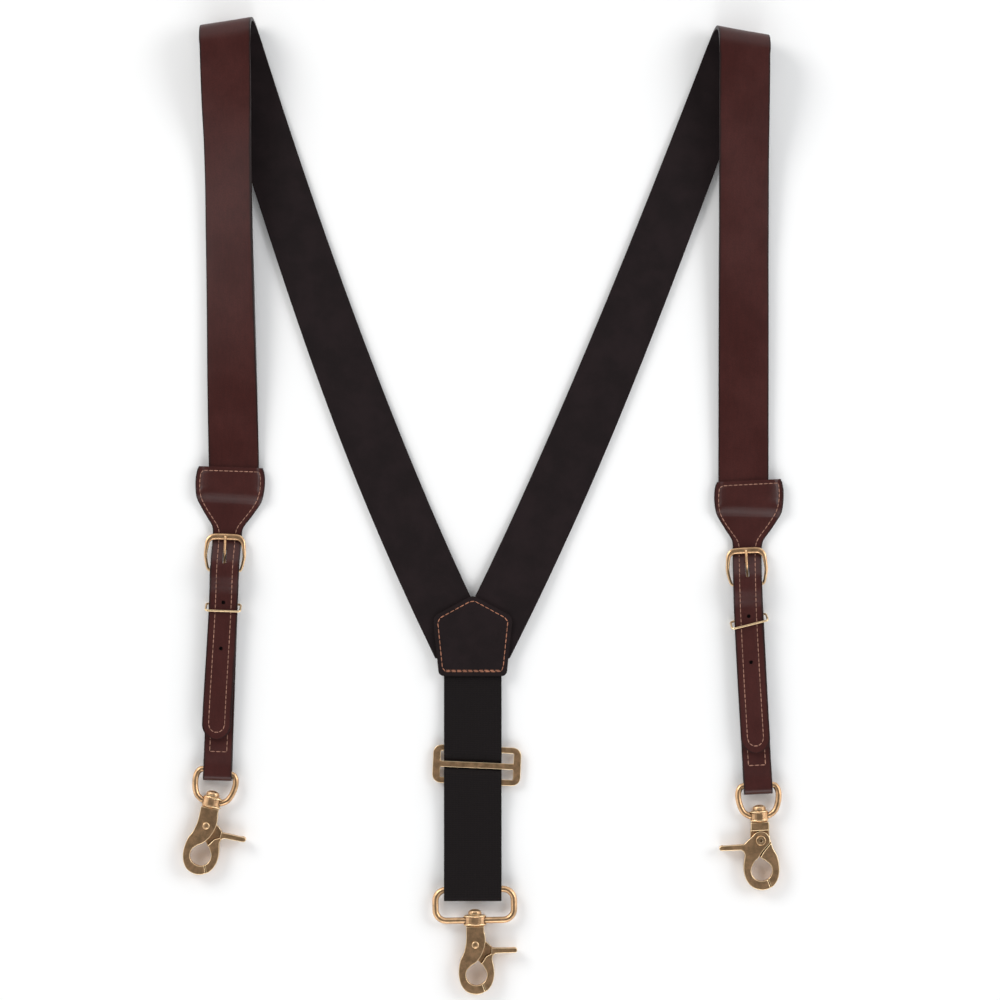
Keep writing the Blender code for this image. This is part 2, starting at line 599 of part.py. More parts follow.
def tab(side_name, side, frame):
    """Face and backing plies, with the prong's slot and the row of adjusting holes."""
    across = lambda along: graded(side["tab_route"], along)
    for name, offset, over_strap in (("tab_face", PLY_OFFSET, True), ("tab_backing", -PLY_OFFSET, False)):
        bm = side_ribbon(list(reversed(tab_route(over_strap))), across, shield_half, PLY_THICK, offset)
        kind = "leather" if over_strap else "leather_inside"
        ply = finish(f"{name}_{side_name}", bm, kind, frame)
        slot = PRONG_RADIUS + 0.35
        straight = PRONG_HOLE_HALF - slot
        outline = arc((0, PRONG_HOLE + straight), slot, 0, 180, 6)
        outline += arc((0, PRONG_HOLE - straight), slot, 180, 360, 6)
        combine(ply, finish("slot", prism(outline, -1, 14), kind), "DIFFERENCE")
        for i in (1, 2):
            along = PRONG_HOLE - i * TAIL_HOLE_PITCH
            hole = arc((across(along), along), TAIL_HOLE_RADIUS, 0, 330, 11)
            combine(ply, finish("hole", prism(hole, -1, 14), kind), "DIFFERENCE")


def clip_strap(side_name, frame):
    """The double strap, folded round the heel bar above and the ring's bar below."""
    ring_y = -CLIP_STRAP_LENGTH
    fold_y = ring_y - CLIP_FOLD_SLACK
    upper = smooth(((CLIP_STRAP_JOIN, CLIP_HIGH_Z), (-30, CLIP_HIGH_Z), (-14, CLIP_HIGH_Z),
                    (-9, CLIP_HIGH_Z + 0.4), (-4.5, HEEL_Z + HEEL_FOLD - 0.5), (0, HEEL_Z + HEEL_FOLD)), 4)
    heel = arc((0, HEEL_Z), HEEL_FOLD, 90, -90, 10)
    lower = smooth(((0, CLIP_LOW_Z), (-14, CLIP_LOW_Z), (-60, CLIP_LOW_Z), (ring_y + 20, CLIP_LOW_Z),
                    (ring_y + 9, SNAP_Z - RING_FOLD + 0.25), (ring_y + 4, SNAP_Z - RING_FOLD),
                    (fold_y, SNAP_Z - RING_FOLD)), 4)
    foot = arc((fold_y, SNAP_Z), RING_FOLD, 270, 90, 10)
    back = smooth(((fold_y, SNAP_Z + RING_FOLD), (ring_y + 4, SNAP_Z + RING_FOLD - 0.05),
                   (ring_y + 11, CLIP_HIGH_Z + 1.4), (ring_y + 19, CLIP_HIGH_Z),
                   (CLIP_STRAP_JOIN - 20, CLIP_HIGH_Z), (CLIP_STRAP_JOIN - 0.4, CLIP_HIGH_Z)), 4)
    route = upper[:-1] + heel + lower[1:-1] + foot + back[1:]
    flat = lambda along: 0.0
    half = lambda along: CLIP_STRAP_WIDTH / 2
    made = finish(f"clip_strap_{side_name}", side_ribbon(route, flat, half, CLIP_STRAP_THICK), "leather", frame)
    slot = PRONG_RADIUS + TOUCH_GAP
    reach = PRONG_EYE + PRONG_RADIUS + TOUCH_GAP
    outline = [(-slot, -reach), (slot, -reach), (slot, reach + 2), (-slot, reach + 2)]
    combine(made, finish("slot", prism(outline, 0, 9), "leather"), "DIFFERENCE")


def buckle(side_name, frame):
    """Horseshoe frame on its heel bar, and the prong that turns on the same bar."""
    inner = CLIP_STRAP_WIDTH / 2 + 0.45
    side_x = inner + FRAME_SIDE / 2
    half = [Vector((0, 0)), Vector((4, 0)), Vector((inner - 0.3, 0))]
    half += smooth(((side_x - 0.5, 0.35), (side_x + 0.05, 1.3), (side_x + 0.9, 4.5), (side_x + 1.6, 9),
                    (FRAME_TOP_HALF - 1.3, 14), (FRAME_TOP_HALF - 2.0, 17.6), (FRAME_TOP_HALF - 4.2, 19.8)), 3)
    half += [Vector((FRAME_TOP_HALF - 6, FRAME_LENGTH)), Vector((0, FRAME_LENGTH))]
    flat = mirrored(half)
    drop = HEEL_Z - FRAME_TOP_Z
    route = [Vector((p.x, p.y, HEEL_Z - drop * p.y / FRAME_LENGTH)) for p in flat]
    wides, highs = [], []
    for point in route:
        share = min(max(point.y / FRAME_LENGTH, 0), 1)
        wide = graded(((0, FRAME_SIDE / 2), (0.6, 1.15), (0.85, 1.5), (1.0, FRAME_TOP_BAR / 2)), share)
        if point.y < 0.2:
            wide = HEEL_RADIUS
        wides.append(wide)
        highs.append(HEEL_RADIUS if point.y < 0.2 else FRAME_THICK / 2)
    bm = loop_wire(route, Vector((0, 0, 1)), wides, highs)
    axle = empty(f"buckle_axle_{side_name}", frame, (0, 0, HEEL_Z))
    bmesh.ops.translate(bm, verts=bm.verts, vec=(0, 0, -HEEL_Z))
    finish(f"buckle_frame_{side_name}", bm, "brass", axle)

    tip_z = FRAME_TOP_Z + FRAME_THICK / 2 + 0.2 + PRONG_RADIUS - HEEL_Z
    prong = wire(prong_path(tip_z), PRONG_RADIUS, Vector((1, 0, 0)))
    finish(f"buckle_prong_{side_name}", prong, "brass", axle)


def prong_path(tip_z):
    """The prong's wire: its tip on the top bar, a straight shaft, and an eye round the heel bar."""
    shaft = [Vector((0, y, PRONG_EYE + (tip_z - PRONG_EYE) * y / PRONG_LENGTH))
             for y in (PRONG_LENGTH, PRONG_LENGTH - 2, 12, 6, 1.2)]
    eye = [Vector((0, p.x, p.y)) for p in arc((0, 0), PRONG_EYE, 90, 375, 20)]
    return shaft + eye


def keeper(side_name, side, frame):
    """Wire loop round the tail and the clip strap, free to slide along them."""
    wide = max(TAB_WIDTH, CLIP_STRAP_WIDTH) / 2 + KEEPER_SIDE_PLAY + KEEPER_RADIUS
    turn = math.radians(abs(side["keeper_turn"]))
    wide = wide / math.cos(turn) + KEEPER_SLANT / 2 * math.sin(turn)
    low = KEEPER_RADIUS
    high = TAIL_Z + TAB_THICK / 2 + 1.5 * TOUCH_GAP + KEEPER_RADIUS
    bend = 1.4
    half = [Vector((0, low)), Vector((wide - bend - 3, low))]
    half += arc((wide - bend, low + bend), bend, -90, 0, 5)
    half += arc((wide - bend, high - bend), bend, 0, 90, 5)
    half += [Vector((wide - bend - 3, high)), Vector((0, high))]
    route = [Vector((p.x, KEEPER_SLANT * (0.5 - (p.y - low) / (high - low)), p.y)) for p in mirrored(half)]
    same = [KEEPER_RADIUS] * len(route)
    centre = graded(side["tab_route"], -KEEPER_DROP) / 2
    holder = empty(f"keeper_frame_{side_name}", frame, (centre, -KEEPER_DROP, 0), side["keeper_turn"])
    finish(f"keeper_{side_name}", loop_wire(route, Vector((0, 1, 0)), same, same, 8), "brass", holder)


def front_end(side_name, side, parent):
    """Everything below one front strap."""
    fold_end = fold_stations(side)[-1][0]
    end = Vector((fold_end.x, fold_end.y, 0)) + heading(side["front_lean"]) * (FRONT_RUN + side["extra_run"])
    lean = side["heel_lean"]
    above_heel = SHIELD_TOP - STRAP_IN_SHIELD
    heel = end + heading(lean) * above_heel
    heel.x += side["tab_shift"] - graded(side["tab_route"], above_heel)
    frame = empty(f"front_end_{side_name}", parent, (heel.x, heel.y, 0), lean)
    tab(side_name, side, frame)
    clip_strap(side_name, frame)
    buckle(side_name, frame)
    keeper(side_name, side, frame)
    snap_frame = empty(f"snap_{side_name}", frame, (0, -CLIP_STRAP_LENGTH, SNAP_Z), side["snap_turn"])
    snap(side_name, snap_frame, CLIP_STRAP_WIDTH, FRONT_RING_WIRE, FRONT_RING_PLAY, FRONT_COLLAR_HALF,
         side["flipped"])


# === the swivel trigger snap =============================================================================

def ring(side_name, frame, strap_width, wire_radius, play, collar_half):
    """Ring bent from wire, with the swivel's collar in the middle of its lower bar."""
    side_x = strap_width / 2 + play + wire_radius
    low = -RING_HEIGHT
    if strap_width > 2 * RING_HEIGHT * 0.75:
        bend = 6.5
        half = [Vector((0, low)), Vector((side_x / 2, low))]
        half += arc((side_x - bend, low + bend), bend, -90, 0, 7)
        half += arc((side_x - bend, -bend), bend, 0, 90, 7)
        half += [Vector((side_x / 2, 0)), Vector((0, 0))]
    else:
        half = [Vector((0, low)), Vector((side_x * 0.25, low))]
        half += smooth(((side_x * 0.5, low + 0.2), (side_x * 0.78, low + 2.6), (side_x * 0.95, low + 7),
                        (side_x * 1.02, low + 12), (side_x * 0.98, -2.8), (side_x * 0.86, -0.6)), 3)
        half += [Vector((side_x * 0.7, 0)), Vector((0, 0))]
    route = [Vector((p.x, p.y, 0)) for p in mirrored(half)]
    same = [wire_radius] * len(route)
    made = finish(f"ring_{side_name}", loop_wire(route, Vector((0, 0, 1)), same, same), "brass", frame)
    top = COLLAR_HEIGHT / 2
    barrel = turned(((0, -top), (collar_half * 0.9, -top), (collar_half, -top + 0.8), (collar_half, top - 0.8),
                     (collar_half * 0.9, top), (0, top)), 20, along_y=True)
    bmesh.ops.scale(barrel, vec=(1, 1, COLLAR_DEPTH / 2 / collar_half), verts=barrel.verts)
    bmesh.ops.translate(barrel, verts=barrel.verts, vec=(0, low, 0))
    combine(made, finish("collar", barrel, "brass"), "UNION")
    bore = pin(STEM_RADIUS + PIN_GAP, low - 5, low + 5, 16, along_y=True)
    combine(made, finish("bore", bore, "brass"), "DIFFERENCE")
    return made


def swivel_rivet(side_name, pivot):
    """Domed head above the collar, stem through it, and its end set in the hook's neck."""
    collar_top = COLLAR_TO_PIVOT + COLLAR_HEIGHT / 2
    head = collar_top + PIN_GAP + 0.1
    foot = collar_top - COLLAR_HEIGHT - 4.2
    dome = [(STEM_HEAD_RADIUS * math.cos(math.radians(a)),
             head + 1.2 + (STEM_HEAD_HEIGHT - 1.2) * math.sin(math.radians(a))) for a in (0, 25, 50, 72)]
    profile = [(0, foot), (STEM_RADIUS, foot), (STEM_RADIUS, head), (STEM_HEAD_RADIUS, head)]
    profile += dome + [(0, head + STEM_HEAD_HEIGHT)]
    finish(f"swivel_rivet_{side_name}", turned(profile, 16, along_y=True), "brass", pivot)


def eye_arc(start, stop, steps):
    """Part of the hook's eye."""
    return arc((0.35, -EYE_DROP), EYE_RADIUS, start, stop, steps)


def loop_outside():
    """Outer edge of the hook's loop, from its upper left round the bottom to its upper right."""
    foot = -EYE_DROP
    return smooth(((-5.7, 0.5), (-7.1, -5), (-9.2, foot + 8.8), (-10.3, foot + 2.4), (-9.9, foot - 2.8),
                   (-8.2, foot - 7.2), (-5.0, foot - 10.4), (0.4, foot - 11.7), (5.6, foot - 10.2),
                   (9.0, foot - 6.8), (10.8, foot - 2), (11.0, foot + 3.4), (9.9, foot + 9.4)), 3)


def hook_body(side_name, pivot):
    """Neck, S-shaped front plate and left wall of the loop, half thick where the trigger passes."""
    neck_top = COLLAR_TO_PIVOT - COLLAR_HEIGHT / 2 - TOUCH_GAP
    left = [p for p in loop_outside() if p.x <= 4.6]
    inside = eye_arc(-58, -212, 12)
    plate = smooth(((-3.6, -EYE_DROP + 5.3), (0, -EYE_DROP + 7.3), (3.2, -6.8), (5.0, -2.9), (6.0, 1.4),
                    (6.0, 5.0), (NECK_HALF, 8.0)), 3)
    outline = [Vector((-NECK_HALF, neck_top)), Vector((-NECK_HALF, 4))] + left + [Vector((5.4, -27.9))]
    outline += inside + plate[1:] + [Vector((NECK_HALF, neck_top))]
    half = HOOK_THICK / 2
    made = finish(f"hook_body_{side_name}", prism(outline, -half, half), "brass", pivot)
    gap = TOUCH_GAP / 2
    disc_room = TRIGGER_DISC + 0.4
    behind = [(-9, disc_room), (9, disc_room), (9, -12.2), (2.2, -12.2), (-1.7, -6.6), (-6.1, -1.6), (-9, -1.6)]
    combine(made, finish("trigger_room", prism(behind, -half - 1, gap), "brass"), "DIFFERENCE")
    foot = -EYE_DROP
    tongue = [(-2.4, foot - 2), (-3.3, foot - 5.3), (-5.0, foot - 11), (-5.2, foot - 14), (9, foot - 14),
              (9, foot - 2)]
    combine(made, finish("tongue_room", prism(tongue, -half - 1, gap), "brass"), "DIFFERENCE")
    combine(made, finish("hole", pin(PIVOT_RADIUS + PIN_GAP, -half - 1, half + 1, 16), "brass"), "DIFFERENCE")
    stem = pin(STEM_RADIUS + PIN_GAP, neck_top - 4.3, neck_top + 3, 16, along_y=True)
    combine(made, finish("stem_hole", stem, "brass"), "DIFFERENCE")


def trigger(side_name, pivot):
    """Disc on the pivot, thumb spur, right wall of the loop, and a tongue behind the body's tip."""
    half = HOOK_THICK / 2
    gap = TOUCH_GAP / 2
    foot = -EYE_DROP
    disc = arc((0, 0), TRIGGER_DISC, 200, 30, 14)
    spur = [Vector((7.6, 0.6)), Vector((10.2, -1.9)), Vector((SPUR_LENGTH - 0.8, -2.1)),
            Vector((SPUR_LENGTH, -2.9)), Vector((SPUR_LENGTH, -4.2)), Vector((SPUR_LENGTH - 0.8, -5.0)),
            Vector((12.0, -5.2)), Vector((10.4, -6.4))]
    outside = [p for p in reversed(loop_outside()) if p.x > -4.0 and p.y < foot + 9.5]
    outline = disc + spur + outside + [Vector((-4.4, foot - 10.55))] + eye_arc(-121, 32, 13)
    outline += [Vector((4.2, foot + 6.0)), Vector((2.6, foot + 7.0)), Vector((-1.1, -6.0))]
    made = finish(f"trigger_{side_name}", prism(outline, -half, half), "brass", pivot)
    front = [(-8, 8), (9.6, 8), (9.6, -5.4), (6.4, -7.0), (3.9, foot + 7.2), (1.0, foot + 5.4), (-8, foot + 5.4)]
    combine(made, finish("body_room", prism(front, -gap, half + 1), "brass"), "DIFFERENCE")
    tip = [(2.6, foot - 2), (4.15, foot - 5.3), (5.95, foot - 10), (5.95, foot - 14), (-9, foot - 14),
           (-9, foot - 2)]
    combine(made, finish("tip_room", prism(tip, -gap, half + 1), "brass"), "DIFFERENCE")
    combine(made, finish("hole", pin(PIVOT_RADIUS + PIN_GAP, -half - 1, half + 1, 16), "brass"), "DIFFERENCE")
    pocket = pin(SPRING_POCKET, -gap - SPRING_POCKET_DEPTH, half, 20)
    combine(made, finish("pocket", pocket, "brass"), "DIFFERENCE")


def pivot_rivet(side_name, pivot):
    """Domed head in front, and a rolled hollow end behind."""
    face = HOOK_THICK / 2 + PIN_GAP
    top = face + PIVOT_HEAD_HEIGHT
    profile = [(0, -face + 1.2), (1.0, -face + 1.2), (1.0, -top), (PIVOT_FLANGE_RADIUS - 0.3, -top),
               (PIVOT_FLANGE_RADIUS, -face - 0.3), (PIVOT_FLANGE_RADIUS, -face), (PIVOT_RADIUS, -face),
               (PIVOT_RADIUS, face), (PIVOT_HEAD_RADIUS, face), (PIVOT_HEAD_RADIUS * 0.8, face + 0.45),
               (PIVOT_HEAD_RADIUS * 0.4, top), (0, top + 0.05)]
    finish(f"pivot_rivet_{side_name}", turned(profile, 16), "brass", pivot)


def trigger_spring(side_name, pivot):
    """Two-turn torsion spring in the trigger's pocket, with a short leg at each end."""
    turns, steps = 2, 14
    low = -TOUCH_GAP / 2 - SPRING_POCKET_DEPTH + SPRING_WIRE + 0.15
    rise = SPRING_POCKET_DEPTH - 2 * SPRING_WIRE - 0.3
    route = [Vector((SPRING_COIL + 0.75, -0.8, low))]
    for i in range(turns * steps + 1):
        angle = math.tau * i / steps
        route.append(Vector((SPRING_COIL * math.cos(angle), SPRING_COIL * math.sin(angle),
                             low + rise * i / (turns * steps))))
    route.append(Vector((SPRING_COIL + 0.75, 0.8, low + rise)))
    finish(f"trigger_spring_{side_name}", wire(route, SPRING_WIRE, Vector((0, 0, 1)), 6), "steel", pivot)


def snap(side_name, frame, strap_width, wire_radius, play, collar_half, flipped):
    """Ring and hook; a flipped hook shows its back."""
    ring(side_name, frame, strap_width, wire_radius, play, collar_half)
    pivot = empty(f"hook_{side_name}", frame, (0, -RING_HEIGHT - COLLAR_TO_PIVOT, 0), 0, flipped)
    swivel_rivet(side_name, pivot)
    hook_body(side_name, pivot)
    trigger(side_name, pivot)
    pivot_rivet(side_name, pivot)
    trigger_spring(side_name, pivot)


# === assembly ============================================================================================

def settle(root):
    """Move the whole pair so that its origin is under the middle of its box."""
    bpy.context.view_layer.update()
    corners = [thing.matrix_world @ vertex.co for thing in bpy.data.objects if thing.type == "MESH"
               for vertex in thing.data.vertices]
    low = [min(c[i] for c in corners) for i in range(3)]
    high = [max(c[i] for c in corners) for i in range(3)]
    root.location = Vector((-(low[0] + high[0]) / 2, -(low[1] + high[1]) / 2, -low[2]))


def build():
    for thing in list(bpy.data.objects):
        bpy.data.objects.remove(thing, do_unlink=True)
    root = empty("suspenders")
    for side_name, side in SIDES.items():
        strap(f"strap_{side_name}", side, root)
        front_end(side_name, side, root)
    yoke(root)
    elastic(root, root)
    slider(root)
    rear = empty("snap_rear", root, (YOKE_X + 1.0, SLIDER_Y + RING_Y, SNAP_Z), 1.0)
    snap("rear", rear, ELASTIC_WIDTH, REAR_RING_WIRE, REAR_RING_PLAY, REAR_COLLAR_HALF, False)
    settle(root)


build()
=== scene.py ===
import math

import bpy
import numpy as np
from bpy.props import FloatProperty, FloatVectorProperty, IntProperty, PointerProperty
from mathutils import Matrix, Vector, noise
from mathutils.bvhtree import BVHTree
from mathutils.geometry import interpolate_bezier


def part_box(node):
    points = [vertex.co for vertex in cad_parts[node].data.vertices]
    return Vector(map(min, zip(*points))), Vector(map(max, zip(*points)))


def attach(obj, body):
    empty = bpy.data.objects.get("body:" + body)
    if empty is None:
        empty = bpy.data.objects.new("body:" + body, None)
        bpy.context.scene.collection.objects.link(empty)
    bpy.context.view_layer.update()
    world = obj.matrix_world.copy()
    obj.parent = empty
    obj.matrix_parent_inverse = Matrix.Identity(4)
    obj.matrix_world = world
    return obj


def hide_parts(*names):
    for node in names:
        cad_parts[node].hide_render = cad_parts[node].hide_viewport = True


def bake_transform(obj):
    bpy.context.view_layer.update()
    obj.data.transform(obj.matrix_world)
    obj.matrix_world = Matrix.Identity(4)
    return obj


bl_info = {
    "name": "Y-back Leather Suspenders",
    "version": (1, 0, 0),
    "blender": (4, 5, 0),
    "location": "3D View > Sidebar > Suspenders",
    "description": "Dresses the suspenders' frame: leather, elastic, stitching and antique brass snaps",
    "category": "Object",
}

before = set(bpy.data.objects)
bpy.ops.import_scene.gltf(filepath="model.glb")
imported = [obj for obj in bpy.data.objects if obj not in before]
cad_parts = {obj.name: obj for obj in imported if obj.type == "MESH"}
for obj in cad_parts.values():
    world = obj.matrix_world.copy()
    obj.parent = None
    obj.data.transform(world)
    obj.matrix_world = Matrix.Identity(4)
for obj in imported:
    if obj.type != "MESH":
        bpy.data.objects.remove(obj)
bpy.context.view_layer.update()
MM = 0.001

# --- how the pair lies, in millimetres and degrees -------------------------------------------------------
STRAP_THICK = 2.4
STRAP_FRONT_WIDTH = 30.0
STRAP_YOKE_WIDTH = 35.0
FOLD_RADIUS = 10.5
FRONT_RUN = 267.5
YOKE_X = -5.5
CROTCH_Y = -58.8
PATCH_THICK = 1.6
PATCH_TIP_Y = CROTCH_Y + 3.6
PATCH_BASE_Y = PATCH_TIP_Y - 48.2
PATCH_CORNERS = ((0, PATCH_TIP_Y), (-23.8, PATCH_TIP_Y - 13.0), (-20.2, PATCH_BASE_Y),
                 (20.2, PATCH_BASE_Y), (23.8, PATCH_TIP_Y - 13.0))
GAP = 0.3
STRAP_LAYER = PATCH_THICK + GAP + STRAP_THICK / 2
ELASTIC_TOP_Y = PATCH_BASE_Y + 10.0
ELASTIC_WIDTH = 34.5
ELASTIC_THICK = 1.2
SLIDER_Y = PATCH_BASE_Y - 53.7
SLIDER_LENGTH = 23.0
SLIDER_BAR = 3.6
SLIDER_THICK = 1.8
SLIDER_SHIFT = 2.4
SLIDER_TURN = -2.6
SEWN_END = 9.0
RING_Y = -74.3
REAR_RING_WIRE = 1.95
FRONT_RING_WIRE = 1.85
SNAP_Z = 4.25
PLY_THICK = 1.0
SHIELD_TOP = 62.0
STRAP_IN_SHIELD = 13.0
TAB_WIDTH = 17.4
TAIL_LENGTH = 101.0
PRONG_HOLE = 8.5
PRONG_HOLE_HALF = 4.3
TAIL_HOLE_PITCH = 27.6
CLIP_STRAP_WIDTH = 17.2
CLIP_STRAP_THICK = 1.3
CLIP_STRAP_LENGTH = 120.5
CLIP_STRAP_JOIN = -66.0
HEEL_RADIUS = 1.2
KEEPER_RADIUS = 0.7
PRONG_RADIUS = 0.8

SIDES = {
    "left": {
        "fold": (-152.6, 288.0), "front_lean": 1.0, "back_lean": 17.4, "yoke_lean": 25.4,
        "extra_run": 0.0, "tab_shift": -2.65, "heel_lean": -1.9,
        "height": ((0, 22.2), (0.1, 18.5), (0.24, 11.6), (0.42, 8.4), (0.64, 6.2), (0.84, 3.7), (0.95, 2.5)),
        "roll": ((0, 0), (0.1, 6), (0.24, 20), (0.42, 22), (0.64, 15), (0.84, 4.5), (0.95, 0)),
        "tab_route": ((-101, -1.5), (-30, 0), (10, 0.6), (40, 1.4), (62, 1.8)),
    },
    "right": {
        "fold": (155.8, 282.4), "front_lean": 0.0, "back_lean": -21.0, "yoke_lean": -26.3,
        "extra_run": 2.5, "tab_shift": 3.2, "heel_lean": 2.9,
        "height": ((0, 22.2), (0.1, 18.5), (0.24, 11.2), (0.42, 6.8), (0.64, 4.4), (0.84, 2.9), (0.95, 2.5)),
        "roll": ((0, 0), (0.1, -3), (0.24, -8), (0.42, -8), (0.64, -4), (0.84, -1), (0.95, 0)),
        "tab_route": ((-101, -0.1), (-50, -0.5), (0, -0.3), (19, 0.8), (40, 2.4), (62, 3.9)),
    },
}
SNAPS = ("left", "right", "rear")

patch_low, patch_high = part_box("yoke_patch_outer")
TABLE_SHIFT = Vector(((patch_low.x + patch_high.x) / 2 - YOKE_X * MM, patch_low.y - PATCH_BASE_Y * MM,
                      patch_low.z))
WORLD = Matrix.Translation(TABLE_SHIFT)


# === sizes and colours a user may change ==================================================================

def length(name, description, millimetres):
    return FloatProperty(name=name, description=description, default=millimetres * MM, unit="LENGTH",
                         precision=5)


def colour(name, description, *rgb):
    return FloatVectorProperty(name=name, description=description, default=rgb, subtype="COLOR",
                               min=0.0, max=1.0)


class LeatherSettings(bpy.types.PropertyGroup):
    face: colour("Grain side", "Colour of the dyed outer face", 0.049, 0.0102, 0.0084)
    flesh: colour("Lined side", "Colour of the dark inner face", 0.0105, 0.0058, 0.0066)
    edge: colour("Burnished edge", "Colour of the waxed cut edge", 0.009, 0.0042, 0.004)
    row_step: length("Row step", "Spacing of the mesh rows along a strap", 2.6)
    edge_round: length("Edge rounding", "Radius rubbed onto the cut edges", 0.42)
    waviness: length("Waviness", "How far a strap rises and falls where it lies loose", 0.22)
    grain: FloatProperty(name="Grain", description="Depth of the pebbled grain", default=0.22,
                         subtype="FACTOR", min=0.0, max=1.0)


class StitchSettings(bpy.types.PropertyGroup):
    pitch: length("Pitch", "From one stitch to the next", 3.0)
    yoke_pitch: length("Yoke pitch", "From one stitch to the next on the yoke", 3.4)
    width: length("Thread", "Width of the laid thread", 0.62)
    dent: length("Dent", "How deep the thread pulls into the leather", 0.3)
    tan: colour("Tab thread", "Thread of the tabs and clip straps", 0.42, 0.215, 0.150)
    copper: colour("Yoke thread", "Thread of the yoke", 0.46, 0.190, 0.110)


class ElasticSettings(bpy.types.PropertyGroup):
    colour: colour("Elastic", "Colour of the woven elastic", 0.0068, 0.0050, 0.0052)
    rib: length("Rib", "Spacing of the cords woven along the elastic", 0.9)


class BrassSettings(bpy.types.PropertyGroup):
    bright: colour("Rubbed brass", "Colour where the plating is rubbed bright", 0.92, 0.72, 0.44)
    aged: colour("Aged brass", "Colour of the plain surfaces", 0.68, 0.42, 0.23)
    dark: colour("Dark recess", "Colour of the patina in the hollows", 0.040, 0.022, 0.011)
    voxel: length("Casting detail", "Finest detail kept when a casting is rounded", 0.2)
    rounds: IntProperty(name="Tumbling", description="How often a casting's edges are rubbed down", default=7,
                        min=0, max=40)


class StageSettings(bpy.types.PropertyGroup):
    floor: colour("Table", "Colour of the table", 0.95, 0.95, 0.95)
    height: FloatProperty(name="Camera height", description="Camera above the table", default=3.0,
                          unit="LENGTH")
    field: FloatProperty(name="Field of view", description="Camera's angle of view",
                         default=math.radians(11.42), subtype="ANGLE")


GROUPS = {"suspenders_leather": LeatherSettings, "suspenders_stitch": StitchSettings,
          "suspenders_elastic": ElasticSettings, "suspenders_brass": BrassSettings,
          "suspenders_stage": StageSettings}


def settings_of(group):
    """The settings of one group: leather, stitch, elastic, brass or stage."""
    return getattr(bpy.context.scene, f"suspenders_{group}")


# === shader tools =========================================================================================

class Value:
    """An output of a shader node; arithmetic on it adds Math nodes."""

    def __init__(self, finish, socket):
        self.finish = finish
        self.socket = socket

    def math(self, operation, *parts):
        return self.finish.add("ShaderNodeMath", {"operation": operation}, dict(enumerate(parts)))

    def __add__(self, other):
        return self.math("ADD", self, other)

    __radd__ = __add__

    def __sub__(self, other):
        return self.math("SUBTRACT", self, other)

    def __rsub__(self, other):
        return self.math("SUBTRACT", other, self)

    def __mul__(self, other):
        return self.math("MULTIPLY", self, other)

    __rmul__ = __mul__

    def __truediv__(self, other):
        return self.math("DIVIDE", self, other)

    def wave(self):
        return self.math("SINE", self)

    def size(self):
        return self.math("ABSOLUTE", self)

    def ease(self, start, stop, low=0.0, high=1.0):
        """Smoothly from low at start to high at stop."""
        if start > stop:
            start, stop, low, high = stop, start, high, low
        return self.finish.add("ShaderNodeMapRange", {"interpolation_type": "SMOOTHSTEP"},
                               {"Value": self, "From Min": start, "From Max": stop, "To Min": low,
                                "To Max": high})


class Finish:
    """A material with a Principled shader, and one method that adds any node to it."""

    def __init__(self, name, **constants):
        self.material = bpy.data.materials.new(name)
        self.material.use_nodes = True
        self.tree = self.material.node_tree
        self.shader = self.tree.nodes["Principled BSDF"]
        for socket, value in constants.items():
            self.shader.inputs[socket.replace("_", " ")].default_value = value

    def add(self, kind, settings=None, inputs=None, output=0):
        made = self.tree.nodes.new(kind)
        for key, value in (settings or {}).items():
            setattr(made, key, value)
        for key, value in (inputs or {}).items():
            self.feed(made.inputs[key], value)
        return Value(self, made.outputs[output])

    def feed(self, socket, value):
        if isinstance(value, Value):
            self.tree.links.new(value.socket, socket)
        else:
            socket.default_value = value

    def place(self, scale=(1, 1, 1)):
        """Object coordinates in millimetres, stretched by scale."""
        where = self.add("ShaderNodeTexCoord", output="Object")
        return self.add("ShaderNodeVectorMath", {"operation": "MULTIPLY"},
                        {0: where, 1: tuple(1000.0 * s for s in scale)})

    def noise(self, where, scale, detail=3.0, rough=0.5):
        return self.add("ShaderNodeTexNoise", {"noise_dimensions": "3D"},
                        {"Vector": where, "Scale": scale, "Detail": detail, "Roughness": rough})

    def mix(self, factor, first, second):
        first, second = [(*c, 1.0) if not isinstance(c, Value) else c for c in (first, second)]
        return self.add("ShaderNodeMix", {"data_type": "RGBA"}, {0: factor, 6: first, 7: second}, 2)

    def attribute(self, name):
        return self.add("ShaderNodeAttribute", {"attribute_name": name}, output="Fac")

    def run(self):
        """The piece's own map: distance from its edge and along its length, both in millimetres."""
        cloth = self.add("ShaderNodeUVMap", {"uv_map": "run"})
        parts = self.tree.nodes.new("ShaderNodeSeparateXYZ")
        self.feed(parts.inputs[0], cloth)
        return Value(self, parts.outputs[0]) * 1000.0, Value(self, parts.outputs[1]) * 1000.0

    def colour(self, value):
        self.feed(self.shader.inputs["Base Color"], value)

    def rough(self, value):
        self.feed(self.shader.inputs["Roughness"], value)

    def relief(self, height, distance, strength=1.0):
        bump = self.add("ShaderNodeBump", None, {"Height": height, "Distance": distance * MM,
                                                 "Strength": strength})
        self.feed(self.shader.inputs["Normal"], bump)


def shade(rgb, factor):
    return tuple(channel * factor for channel in rgb)


FINISHES = {}


def once(name, maker):
    """The finish of this name, made the first time it is asked for."""
    if name not in FINISHES:
        FINISHES[name] = maker(name)
    return FINISHES[name]


